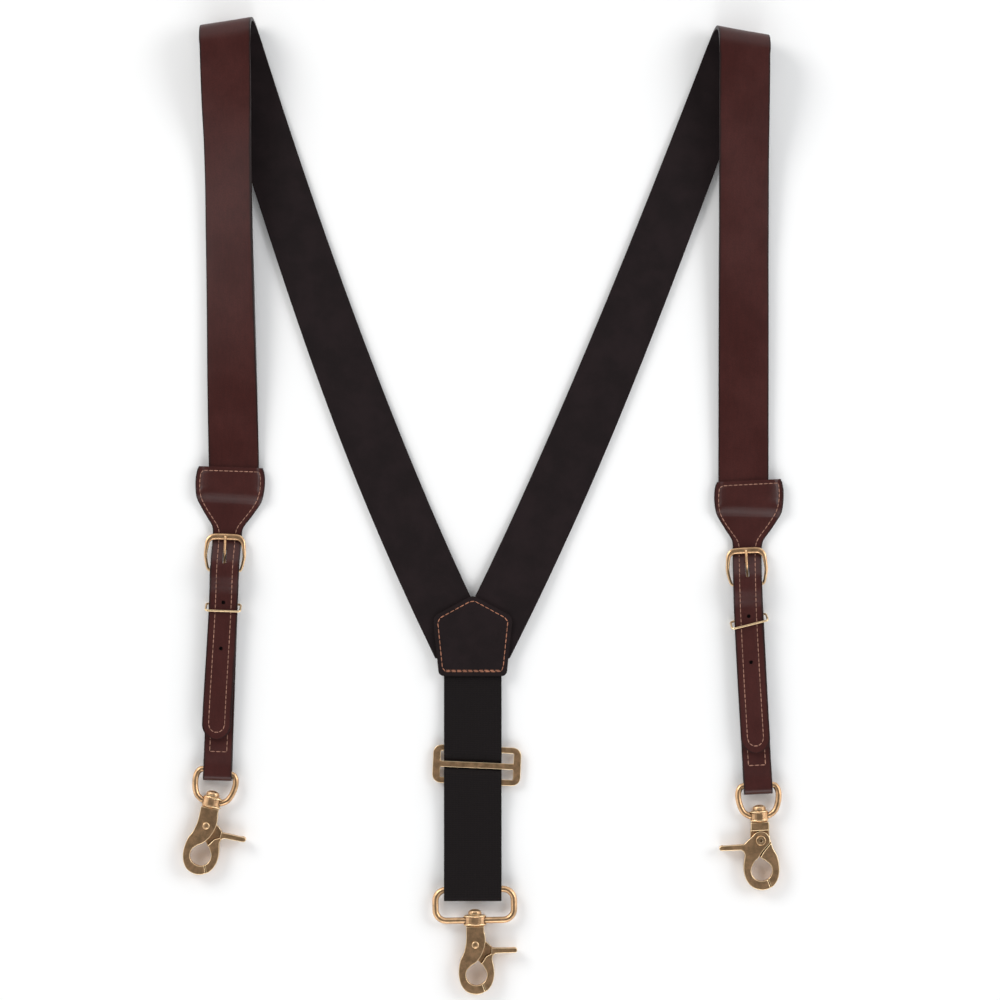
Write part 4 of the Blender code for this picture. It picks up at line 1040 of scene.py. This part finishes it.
def loop_route():
    """Side view of the elastic from the slider round the ring's bar and back to the slider's last bar."""
    wrap = (SLIDER_THICK + ELASTIC_THICK) / 2 + GAP
    bar_z = SLIDER_LOW + SLIDER_THICK / 2
    reach = SLIDER_BAR / 2 - SLIDER_THICK / 2 + 0.35
    fold = REAR_RING_WIRE + GAP + ELASTIC_THICK / 2
    climb = OVER_WRAP_Z - UNDER_BAR_Z
    foot = SLIDER_BAR / 2 + 0.1
    crest = foot + 0.45 + climb * 0.78
    down = [Vector(p) for p in ((-GAP / 2, UNDER_BAR_Z), (-foot, UNDER_BAR_Z),
                                (-foot - 0.45, UNDER_BAR_Z + 0.3), (-crest, OVER_WRAP_Z - 0.35),
                                (-crest - 0.9, OVER_WRAP_Z))]
    down += smooth(((-BAR_PITCH - 1, OVER_WRAP_Z), (-BAR_PITCH - 6, OVER_WRAP_Z - 0.2),
                    (-BAR_PITCH - 15, OVER_WRAP_Z - 1.6), (-BAR_PITCH - 30, 3.9), (RING_Y + 22, 4.2),
                    (RING_Y + 9, SNAP_Z + fold - 0.5), (RING_Y, SNAP_Z + fold)), 6)
    under = arc((RING_Y - 3.6, SNAP_Z), fold, 90, 270, 14)
    back = smooth(((RING_Y, SNAP_Z - fold), (RING_Y + 9, SNAP_Z - fold + 0.05), (RING_Y + 22, UNDER_BAR_Z),
                   (-BAR_PITCH - 14, UNDER_BAR_Z), (-BAR_PITCH - reach, UNDER_BAR_Z)), 6)
    round_bar = arc((-BAR_PITCH + reach, bar_z), wrap, -90, 90, 12)
    end = [Vector(p) for p in ((-BAR_PITCH - reach, bar_z + wrap), (-BAR_PITCH - 3.2, bar_z + wrap - 0.5),
                               (-BAR_PITCH - SEWN_END, UNDER_BAR_Z + ELASTIC_THICK + GAP + 0.2))]
    return down + under + back + round_bar + end


def follow_slider(sheet):
    """Slant the elastic's cross lines with the slider, where it passes over and under the bars."""
    slope = math.tan(math.radians(SLIDER_TURN))
    origin = Vector((YOKE_X, SLIDER_Y, 0)) * MM + TABLE_SHIFT
    points = points_of(sheet.data)
    x, y = (points[:, 0] - origin.x) / MM, (points[:, 1] - origin.y) / MM
    away = np.maximum(np.abs(y) - SLIDER_LENGTH / 2 - SEWN_END, 0) / SLIDER_LENGTH
    points[:, 1] += (x - SLIDER_SHIFT) * slope * np.maximum(1 - away, 0) * MM
    put_points(sheet.data, points)


def elastic_run(name, route):
    """One run of woven elastic, laid along a side-view route."""
    place = Matrix.Translation(Vector((YOKE_X, SLIDER_Y, 0)) * MM + TABLE_SHIFT)
    woven = once("woven_elastic", woven_elastic)
    rows = side_rows(spread(route, 1.6), lambda along: 0.0, lambda along: ELASTIC_WIDTH / 2)
    sheet = band(rows, (0, 0.4, 0.9, 1.6), 6, [woven], place)
    follow_slider(sheet)
    thicken(sheet, ELASTIC_THICK, 0.4 * MM, (0, 0))
    hand_over(sheet, name, None, "elastic", name)
    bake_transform(sheet)
    return sheet


# === tabs and clip straps =================================================================================

TAB_THICK = 2 * PLY_THICK + GAP
PLY_OFFSET = (PLY_THICK + GAP) / 2
CLIP_LOW_Z = 2 * KEEPER_RADIUS + GAP + CLIP_STRAP_THICK / 2
CLIP_HIGH_Z = CLIP_LOW_Z + CLIP_STRAP_THICK + GAP
HEEL_FOLD = HEEL_RADIUS + GAP + CLIP_STRAP_THICK / 2
HEEL_Z = CLIP_LOW_Z + HEEL_FOLD
RING_FOLD = FRONT_RING_WIRE + GAP + CLIP_STRAP_THICK / 2
TAIL_Z = CLIP_HIGH_Z + CLIP_STRAP_THICK / 2 + GAP + TAB_THICK / 2
TAIL_TOP_Z = HEEL_Z + HEEL_FOLD + CLIP_STRAP_THICK / 2 + GAP + TAB_THICK / 2 + 0.45
NECK_Z = TAB_THICK / 2
SHIELD_TABLE = ((-TAIL_LENGTH, 0.0), (22, 0.0), (26, 0.05), (29, 0.2), (34, 0.48), (39, 0.74), (43, 0.9),
                (48, 0.98), (52, 1.0), (56, 0.99), (60, 0.93), (SHIELD_TOP, 0.86))
SEAM_TABLE = ((20, 3.9), (34, 3.0), (50, 2.5))


def front_place(side):
    """The frame of one front end: its origin under the buckle's heel bar, +Y up the tab."""
    fold_end = fold_stations(side)[-1][0]
    end = Vector((fold_end.x, fold_end.y, 0)) + heading(side["front_lean"]) * (FRONT_RUN + side["extra_run"])
    above_heel = SHIELD_TOP - STRAP_IN_SHIELD
    heel = end + heading(side["heel_lean"]) * above_heel
    heel.x += side["tab_shift"] - graded(side["tab_route"], above_heel)
    return WORLD @ Matrix.Translation(heel * MM) @ Matrix.Rotation(math.radians(side["heel_lean"]), 4, "Z")


def shield_half(along):
    """Half width of the tab: shield shoulders, waist, neck and rounded tail."""
    wide, narrow = STRAP_FRONT_WIDTH / 2 + 5.7, TAB_WIDTH / 2
    half = narrow + (wide - narrow) * graded(SHIELD_TABLE, along)
    to_tip = along + TAIL_LENGTH
    if to_tip < narrow:
        half *= math.sqrt(max(1 - (1 - to_tip / narrow) ** 2, 0.0))
    return max(half, 1.2)


def tab_side_view(over_strap):
    """Side view of the tab from its top down to the tail's tip, as (along, height)."""
    strap_end = SHIELD_TOP - STRAP_IN_SHIELD
    start = NECK_Z + (STRAP_THICK + GAP if over_strap else 0.0)
    shield = [(SHIELD_TOP, start), (60, start), (58, start), (56, start), (54, start), (52, start),
              (strap_end - 0.5, start)]
    shield += [(strap_end - 0.5 - 10 * share, start + (NECK_Z - start) * fall)
               for share, fall in ((0.2, 0.10), (0.4, 0.35), (0.6, 0.65), (0.8, 0.90), (1.0, 1.0))]
    shield += [(34, NECK_Z), (31, NECK_Z), (29, NECK_Z)]
    rise = smooth(((26, NECK_Z), (17.8, NECK_Z), (13.9, 2.7), (9.9, 5.5), (6.0, TAIL_TOP_Z - 0.9),
                   (2.2, TAIL_TOP_Z), (-2.5, TAIL_TOP_Z - 0.1), (-8, TAIL_TOP_Z - 1.5),
                   (-13.5, TAIL_Z + 0.2), (-18, TAIL_Z)), 6)
    run = [(-18 - (TAIL_LENGTH - 27) * i / 6, TAIL_Z) for i in range(1, 7)]
    tip = [(-TAIL_LENGTH + 8.7 * (1 - math.sin(math.radians(a))), TAIL_Z) for a in (10, 25, 40, 55, 70, 82)]
    return [Vector(p) for p in shield] + rise + [Vector(p) for p in run + tip]


def tab_seam(side):
    """The seam all round the tab: up one edge, across the shield's top, down the other and round the tip."""
    across = lambda along: graded(side["tab_route"], along)
    tip_centre, tip_radius = -TAIL_LENGTH + TAB_WIDTH / 2, TAB_WIDTH / 2 - 3.9
    ups = [tip_centre + (SHIELD_TOP - 2.4 - tip_centre) * i / 60 for i in range(61)]
    inset = lambda along: shield_half(along) - graded(SEAM_TABLE, along)
    right = [Vector((across(a) + inset(a), a)) for a in ups]
    left = [Vector((across(a) - inset(a), a)) for a in reversed(ups)]
    bend = [Vector((across(tip_centre) + p.x, p.y)) for p in arc((0, tip_centre), tip_radius, 180, 360, 10)]
    return [right + left + bend[1:]]


def tab(side_name, side):
    """Face and backing plies sewn together, with the prong's hole and the adjusting holes."""
    settings = settings_of("leather")
    place = front_place(side)
    across = lambda along: graded(side["tab_route"], along)
    pairs = needle_holes(tab_seam(side), settings_of("stitch").pitch / MM, place)
    strap_end = SHIELD_TOP - STRAP_IN_SHIELD
    for name, offset, over_strap in (("tab_face", PLY_OFFSET, True), ("tab_backing", -PLY_OFFSET, False)):
        route = spread(list(reversed(tab_side_view(over_strap))), 0.9)
        rows = side_rows(route, across, shield_half, offset)

        def lift(point, depth, gone):
            if not over_strap or point.y < 30:
                return 0.0
            beyond = abs(point.x - across(point.y)) - STRAP_FRONT_WIDTH / 2
            press = share_of(beyond / 3.2 + 0.1) * share_of((point.y - strap_end + 4) / 5)
            top = max(0.0, 1 - depth / 1.5) ** 2 * 0.2
            return -1.15 * press * press * (3 - 2 * press) - top

        materials = tab_leather_set()
        if not over_strap:
            materials = [materials[1], materials[1], materials[2]]
        sheet = band(rows, (0, 0.5, 1.1, 1.8, 2.5, 3.2, 3.9, 4.6), 3, materials, place, lift)
        dent(sheet, pairs, settings_of("stitch").dent * (1.0 if over_strap else 0.6), 0.0012, over_strap)
        thicken(sheet, PLY_THICK, 0.3 * MM)
        cut(sheet, slot_cutter(place, (0, PRONG_HOLE), PRONG_RADIUS + 0.35,
                               PRONG_HOLE_HALF - PRONG_RADIUS - 0.35, -1, 14, materials))
        for i in (1, 2):
            along = PRONG_HOLE - i * TAIL_HOLE_PITCH
            cut(sheet, slot_cutter(place, (across(along), along), 1.15, 0.0, -1, 14, materials))
        full = f"{name}_{side_name}"
        slot = "tab_leather" if over_strap else "inner_leather"
        keep = [pair for pair in pairs if clear_of_slot(place, pair)]
        sew(f"{full}_stitches", keep, sheet, over_strap, tan_thread(), "webbing", slot)
        hand_over(sheet, full, "webbing", slot, full)


def clear_of_slot(place, pair):
    """A stitch that doesn't lie over the prong's hole."""
    local = place.inverted() @ ((pair[0] + pair[1]) / 2) / MM
    return abs(local.x) > 2.0 or abs(local.y - PRONG_HOLE) > 6.0


def clip_route():
    """Side view of the clip strap: over the heel bar, along underneath, round the ring's bar and back."""
    ring_y = -CLIP_STRAP_LENGTH
    fold_y = ring_y - 2.0
    upper = smooth(((CLIP_STRAP_JOIN, CLIP_HIGH_Z), (-30, CLIP_HIGH_Z), (-14, CLIP_HIGH_Z),
                    (-9, CLIP_HIGH_Z + 0.4), (-4.5, HEEL_Z + HEEL_FOLD - 0.5), (0, HEEL_Z + HEEL_FOLD)), 5)
    heel = arc((0, HEEL_Z), HEEL_FOLD, 90, -90, 14)
    lower = smooth(((0, CLIP_LOW_Z), (-14, CLIP_LOW_Z), (-60, CLIP_LOW_Z), (ring_y + 20, CLIP_LOW_Z),
                    (ring_y + 9, SNAP_Z - RING_FOLD + 0.25), (ring_y + 4, SNAP_Z - RING_FOLD),
                    (fold_y, SNAP_Z - RING_FOLD)), 5)
    foot = arc((fold_y, SNAP_Z), RING_FOLD, 270, 90, 14)
    back = smooth(((fold_y, SNAP_Z + RING_FOLD), (ring_y + 4, SNAP_Z + RING_FOLD - 0.05),
                   (ring_y + 11, CLIP_HIGH_Z + 1.4), (ring_y + 19, CLIP_HIGH_Z),
                   (CLIP_STRAP_JOIN - 20, CLIP_HIGH_Z), (CLIP_STRAP_JOIN - 0.4, CLIP_HIGH_Z)), 5)
    return upper[:-1] + heel + lower[1:-1] + foot + back[1:]


def clip_strap(side_name, side):
    """The narrow strap folded round the heel bar and the ring, sewn through both layers."""
    place = front_place(side)
    materials = tab_leather_set()
    rows = side_rows(spread(clip_route(), 1.0), lambda along: 0.0, lambda along: CLIP_STRAP_WIDTH / 2)
    sheet = band(rows, (0, 0.5, 1.1, 1.9, 2.7, 3.5, 4.3), 3, materials, place)
    low = -CLIP_STRAP_LENGTH + 12.0
    side_x = CLIP_STRAP_WIDTH / 2 - 3.5
    below = [[Vector((x, -10)), Vector((x, low))] for x in (-side_x, side_x)]
    cross = [Vector((-side_x, low)), Vector((side_x, low))]
    above = [[Vector((x, -TAIL_LENGTH + 3)), Vector((x, low))] for x in (-side_x, side_x)]
    pitch = settings_of("stitch").pitch / MM
    under, over = needle_holes(below + [cross], pitch, place), needle_holes(above + [cross], pitch, place)
    thicken(sheet, CLIP_STRAP_THICK, 0.32 * MM)
    reach = HEEL_RADIUS + 0.15 + 2 * PRONG_RADIUS + GAP
    prong_room = PRONG_RADIUS + GAP
    cut(sheet, slot_cutter(place, (0, 1.0), prong_room, reach + 1 - prong_room, 0, 9, materials))
    name = f"clip_strap_{side_name}"
    sew(f"{name}_stitches_back", under, sheet, False, tan_thread(), "webbing", "tab_leather")
    sew(f"{name}_stitches_front", over, sheet, True, tan_thread(), "webbing", "tab_leather")
    hand_over(sheet, name, "webbing", "tab_leather", name)


# === metal pieces =========================================================================================

def copy_of(node):
    """A free copy of a CAD node's mesh, its loose triangles merged."""
    made = placed(node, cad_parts[node].data.copy())
    made.data.materials.clear()
    take_up(made)
    bpy.ops.mesh.customdata_custom_splitnormals_clear()
    with Bench(made):
        bpy.ops.mesh.remove_doubles(threshold=0.000002)
        bpy.ops.mesh.normals_make_consistent(inside=False)
    return made


def rub_marks(piece, reach_mm=0.45, rounds=3):
    """Store on each vertex how proud it stands: 0 in a hollow, a half on a flat, 1 on an edge."""
    mesh = piece.data
    points = points_of(mesh)
    ways = np.empty(len(points) * 3)
    mesh.vertices.foreach_get("normal", ways)
    ways = ways.reshape(-1, 3)
    ends = np.empty(len(mesh.edges) * 2, int)
    mesh.edges.foreach_get("vertices", ends)
    first, second = ends.reshape(-1, 2).T
    span = points[second] - points[first]
    square = np.maximum((span ** 2).sum(1), 1e-14)
    bend = np.zeros(len(points))
    count = np.zeros(len(points))
    np.add.at(bend, first, -2 * (ways[first] * span).sum(1) / square)
    np.add.at(bend, second, 2 * (ways[second] * span).sum(1) / square)
    np.add.at(count, first, 1)
    np.add.at(count, second, 1)
    count = np.maximum(count, 1)
    bend = np.clip(bend / count * reach_mm * MM, -1, 1)
    for _ in range(rounds):
        total = bend.copy()
        np.add.at(total, first, bend[second])
        np.add.at(total, second, bend[first])
        bend = total / (count + 1)
    mark = mesh.attributes.get("rub") or mesh.attributes.new("rub", "FLOAT", "POINT")
    mark.data.foreach_set("value", (0.5 + bend * 0.5).astype(np.float32))


def brass_finish(piece):
    piece.data.materials.append(once("aged_brass", antique_brass))
    rub_marks(piece)


def casting(node, body, extra=None, rounds=None, voxel=None):
    """A CAD casting with its edges tumbled round; extra adds detail before the edges are rounded."""
    settings = settings_of("brass")
    piece = copy_of(node)
    if extra:
        extra(piece)
    work(piece, "REMESH", mode="VOXEL", voxel_size=voxel or settings.voxel, use_smooth_shade=True)
    work(piece, "SMOOTH", factor=0.5, iterations=settings.rounds if rounds is None else rounds)
    take_up(piece)
    bpy.ops.object.shade_smooth()
    brass_finish(piece)
    return hand_over(piece, node, body, "antique_brass", node)


def drawn_wire(node, body):
    """A bent brass wire or bar, its section made round."""
    piece = copy_of(node)
    with Bench(piece):
        bpy.ops.mesh.tris_convert_to_quads(face_threshold=math.radians(60), shape_threshold=math.radians(60))
    work(piece, "SUBSURF", levels=2, render_levels=2)
    take_up(piece)
    bpy.ops.object.shade_smooth()
    brass_finish(piece)
    return hand_over(piece, node, body, "antique_brass", node)


def join_onto(piece, others):
    take_up(piece)
    for other in others:
        other.select_set(True)
    bpy.ops.object.join()


SPUR_TIP = 2.0
BALL_BACK = 1.75
BALL_RADIUS = 1.85
COLLAR_ABOVE_PIVOT = 14.6
COLLAR_HALF_HEIGHT = 2.55
COLLAR_HALF_DEPTH = 3.9
LIP_RADIUS = 0.06
LIP_HEIGHT = 7.5


def node_axes(side_name):
    """Pivot, spur direction, stem direction and front direction of one hook, from its CAD pieces."""
    rivet_low, rivet_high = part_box(f"pivot_rivet_{side_name}")
    pivot = (rivet_low + rivet_high) / 2
    stem_low, stem_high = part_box(f"swivel_rivet_{side_name}")
    stem = (stem_low + stem_high) / 2 - pivot
    stem.z = 0
    stem.normalize()
    front = Vector((0, 0, -1 if side_name == "right" else 1))
    return pivot, stem.cross(front).normalized(), stem, front


def spur_ball(side_name):
    """Adds the ball at the tip of the thumb spur."""
    def add(piece):
        pivot, spur, stem, front = node_axes(side_name)
        points = points_of(piece.data) - np.array(pivot)
        reach = points @ np.array(spur)
        tip = reach.max()
        at_tip = points[reach > tip - SPUR_TIP * MM]
        level = (at_tip @ np.array(stem)).mean()
        depths = at_tip @ np.array(front)
        middle = (depths.min() + depths.max()) / 2
        centre = pivot + spur * (tip - BALL_BACK * MM) + stem * level + front * middle
        bpy.ops.object.select_all(action="DESELECT")
        bpy.ops.mesh.primitive_uv_sphere_add(segments=20, ring_count=12, radius=BALL_RADIUS * MM,
                                             location=centre)
        ball = bpy.context.object
        bpy.ops.object.transform_apply(location=True)
        join_onto(piece, [ball])
    return add


def collar_lips(side_name):
    """Adds the two raised lips round the ring's collar."""
    def add(piece):
        pivot, spur, stem, front = node_axes(side_name)
        centre = pivot + stem * COLLAR_ABOVE_PIVOT * MM
        half = (6.4 if side_name == "rear" else 5.3) * MM
        turn = Matrix((spur, front, stem)).transposed().to_4x4()
        rings = []
        for level in (-COLLAR_HALF_HEIGHT, COLLAR_HALF_HEIGHT):
            bpy.ops.object.select_all(action="DESELECT")
            bpy.ops.mesh.primitive_torus_add(major_segments=36, minor_segments=8, major_radius=1.0,
                                             minor_radius=LIP_RADIUS)
            lip = bpy.context.object
            lip.data.transform(Matrix.Diagonal((half, COLLAR_HALF_DEPTH * MM, LIP_HEIGHT * MM, 1)))
            lip.data.transform(Matrix.Translation(centre + stem * level * MM) @ turn)
            lip.matrix_world = Matrix.Identity(4)
            rings.append(lip)
        join_onto(piece, rings)
    return add


# === operators ============================================================================================

class SUSPENDERS_OT_straps(bpy.types.Operator):
    """Make the two leather straps"""
    bl_idname = "suspenders.straps"
    bl_label = "Leather Straps"

    def execute(self, context):
        for side_name, side in SIDES.items():
            strap(f"strap_{side_name}", side)
        return {"FINISHED"}


class SUSPENDERS_OT_yoke(bpy.types.Operator):
    """Make the yoke's two stitched patches"""
    bl_idname = "suspenders.yoke"
    bl_label = "Yoke Patches"

    def execute(self, context):
        patch("yoke_patch_outer", PATCH_THICK / 2, False)
        patch("yoke_patch_inner", STRAP_LAYER + STRAP_THICK / 2 + GAP + PATCH_THICK / 2, True)
        return {"FINISHED"}


class SUSPENDERS_OT_elastic(bpy.types.Operator):
    """Make the back elastic in two runs at the slider"""
    bl_idname = "suspenders.elastic"
    bl_label = "Back Elastic"

    def execute(self, context):
        elastic_run("elastic_upper", upper_route())
        elastic_run("elastic_loop", loop_route())
        return {"FINISHED"}


class SUSPENDERS_OT_slider(bpy.types.Operator):
    """Make the back slider"""
    bl_idname = "suspenders.slider"
    bl_label = "Back Slider"

    def execute(self, context):
        casting("slider_rear", "slider", rounds=6)
        return {"FINISHED"}


class SUSPENDERS_OT_tabs(bpy.types.Operator):
    """Make the front tabs with their holes and seams"""
    bl_idname = "suspenders.tabs"
    bl_label = "Front Tabs"

    def execute(self, context):
        for side_name, side in SIDES.items():
            tab(side_name, side)
        return {"FINISHED"}


class SUSPENDERS_OT_clip_straps(bpy.types.Operator):
    """Make the folded clip straps"""
    bl_idname = "suspenders.clip_straps"
    bl_label = "Clip Straps"

    def execute(self, context):
        for side_name, side in SIDES.items():
            clip_strap(side_name, side)
        return {"FINISHED"}


class SUSPENDERS_OT_buckles(bpy.types.Operator):
    """Make the buckles, their prongs and the wire keepers"""
    bl_idname = "suspenders.buckles"
    bl_label = "Buckles and Keepers"

    def execute(self, context):
        for side_name in SIDES:
            drawn_wire(f"buckle_frame_{side_name}", f"buckle_{side_name}")
            drawn_wire(f"buckle_prong_{side_name}", f"prong_{side_name}")
            drawn_wire(f"keeper_{side_name}", f"keeper_{side_name}")
        return {"FINISHED"}


class SUSPENDERS_OT_rings(bpy.types.Operator):
    """Make the three rings with their swivel collars"""
    bl_idname = "suspenders.rings"
    bl_label = "Swivel Rings"

    def execute(self, context):
        for side_name in SNAPS:
            casting(f"ring_{side_name}", f"ring_{side_name}", collar_lips(side_name), rounds=4)
        return {"FINISHED"}


class SUSPENDERS_OT_hooks(bpy.types.Operator):
    """Make the three trigger hooks, their rivets and springs"""
    bl_idname = "suspenders.hooks"
    bl_label = "Trigger Hooks"

    def execute(self, context):
        steel = once("drawn_steel", spring_steel)
        for side_name in SNAPS:
            body = f"hook_{side_name}"
            casting(f"hook_body_{side_name}", body, rounds=9)
            casting(f"trigger_{side_name}", f"trigger_{side_name}", spur_ball(side_name))
            casting(f"pivot_rivet_{side_name}", body, rounds=2, voxel=0.12 * MM)
            casting(f"swivel_rivet_{side_name}", body, rounds=3, voxel=0.15 * MM)
            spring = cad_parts[f"trigger_spring_{side_name}"]
            for slot in spring.material_slots:
                slot.material = steel
        return {"FINISHED"}


SKY = {"From Min": 0.55, "From Max": 0.86, "To Min": 1.15, "To Max": 0.15}
LAMPS = (("key", (-1.5, 1.2, 1.35), 1.2, 19.0, (1.0, 0.98, 0.95)),
         ("fill", (1.7, 0.5, 1.3), 1.3, 14.0, (0.98, 0.99, 1.0)),
         ("front", (0.1, -1.8, 1.25), 1.3, 10.0, (1.0, 1.0, 1.0)))
CAMERA_PLAN = (0.0100, 0.0036)


class SUSPENDERS_OT_stage(bpy.types.Operator):
    """Set the table, the studio lights and the camera"""
    bl_idname = "suspenders.stage"
    bl_label = "Table, Lights and Camera"

    def execute(self, context):
        settings = settings_of("stage")
        take_up(None)
        bpy.ops.mesh.primitive_plane_add(size=8.0, location=(0, 0, -0.0004))
        table = bpy.context.object
        table.name = "table"
        bpy.ops.object.transform_apply(location=True)
        paper = Finish("table_paper", Specular_IOR_Level=0.1)
        tooth = paper.noise(paper.place(), 0.01, 2.0)
        paper.colour(paper.mix(tooth, shade(settings.floor, 0.99), settings.floor))
        paper.rough(0.9 + tooth * 0.05)
        table.data.materials.append(paper.material)

        world = bpy.data.worlds.new("studio")
        bpy.context.scene.world = world
        world.use_nodes = True
        sky = world.node_tree.nodes["Background"]
        tree = world.node_tree
        around = tree.nodes.new("ShaderNodeTexCoord")
        height = tree.nodes.new("ShaderNodeSeparateXYZ")
        tree.links.new(around.outputs["Generated"], height.inputs[0])
        shell = tree.nodes.new("ShaderNodeMapRange")
        shell.interpolation_type = "SMOOTHSTEP"
        tree.links.new(height.outputs["Z"], shell.inputs["Value"])
        for key, value in SKY.items():
            shell.inputs[key].default_value = value
        sky.inputs["Color"].default_value = (0.98, 0.99, 1.0, 1.0)
        tree.links.new(shell.outputs["Result"], sky.inputs["Strength"])
        for name, spot, size, power, tint in LAMPS:
            data = bpy.data.lights.new(name, "AREA")
            data.shape = "DISK"
            data.size = size
            data.energy = power
            data.color = tint
            lamp = placed(name, data)
            lamp.location = spot
            lamp.rotation_euler = (-Vector(spot)).to_track_quat("-Z", "Y").to_euler()

        data = bpy.data.cameras.new("camera")
        data.angle = settings.field
        data.clip_start = 0.01
        camera = placed("camera", data)
        camera.location = (*CAMERA_PLAN, settings.height)
        bpy.context.scene.camera = camera
        bpy.context.scene.view_settings.view_transform = "Standard"
        return {"FINISHED"}


OPERATORS = (SUSPENDERS_OT_straps, SUSPENDERS_OT_yoke, SUSPENDERS_OT_elastic, SUSPENDERS_OT_slider,
             SUSPENDERS_OT_tabs, SUSPENDERS_OT_clip_straps, SUSPENDERS_OT_buckles, SUSPENDERS_OT_rings,
             SUSPENDERS_OT_hooks, SUSPENDERS_OT_stage)


class SUSPENDERS_PT_panel(bpy.types.Panel):
    """Lists the pieces and the sizes and colours that they take"""
    bl_idname = "SUSPENDERS_PT_panel"
    bl_label = "Suspenders"
    bl_space_type = "VIEW_3D"
    bl_region_type = "UI"
    bl_category = "Suspenders"

    def draw(self, context):
        for operator in OPERATORS:
            self.layout.operator(operator.bl_idname)
        for attribute in GROUPS:
            box = self.layout.box()
            group = getattr(context.scene, attribute)
            for name in group.__annotations__:
                box.prop(group, name)


CLASSES = (*GROUPS.values(), *OPERATORS, SUSPENDERS_PT_panel)


def register():
    for each in CLASSES:
        bpy.utils.register_class(each)
    for attribute, group in GROUPS.items():
        setattr(bpy.types.Scene, attribute, PointerProperty(type=group))


def unregister():
    for attribute in GROUPS:
        delattr(bpy.types.Scene, attribute)
    for each in reversed(CLASSES):
        bpy.utils.unregister_class(each)


def main():
    register()
    for operator in OPERATORS:
        group, name = operator.bl_idname.split(".")
        getattr(getattr(bpy.ops, group), name)()


if __name__ == "__main__":
    main()
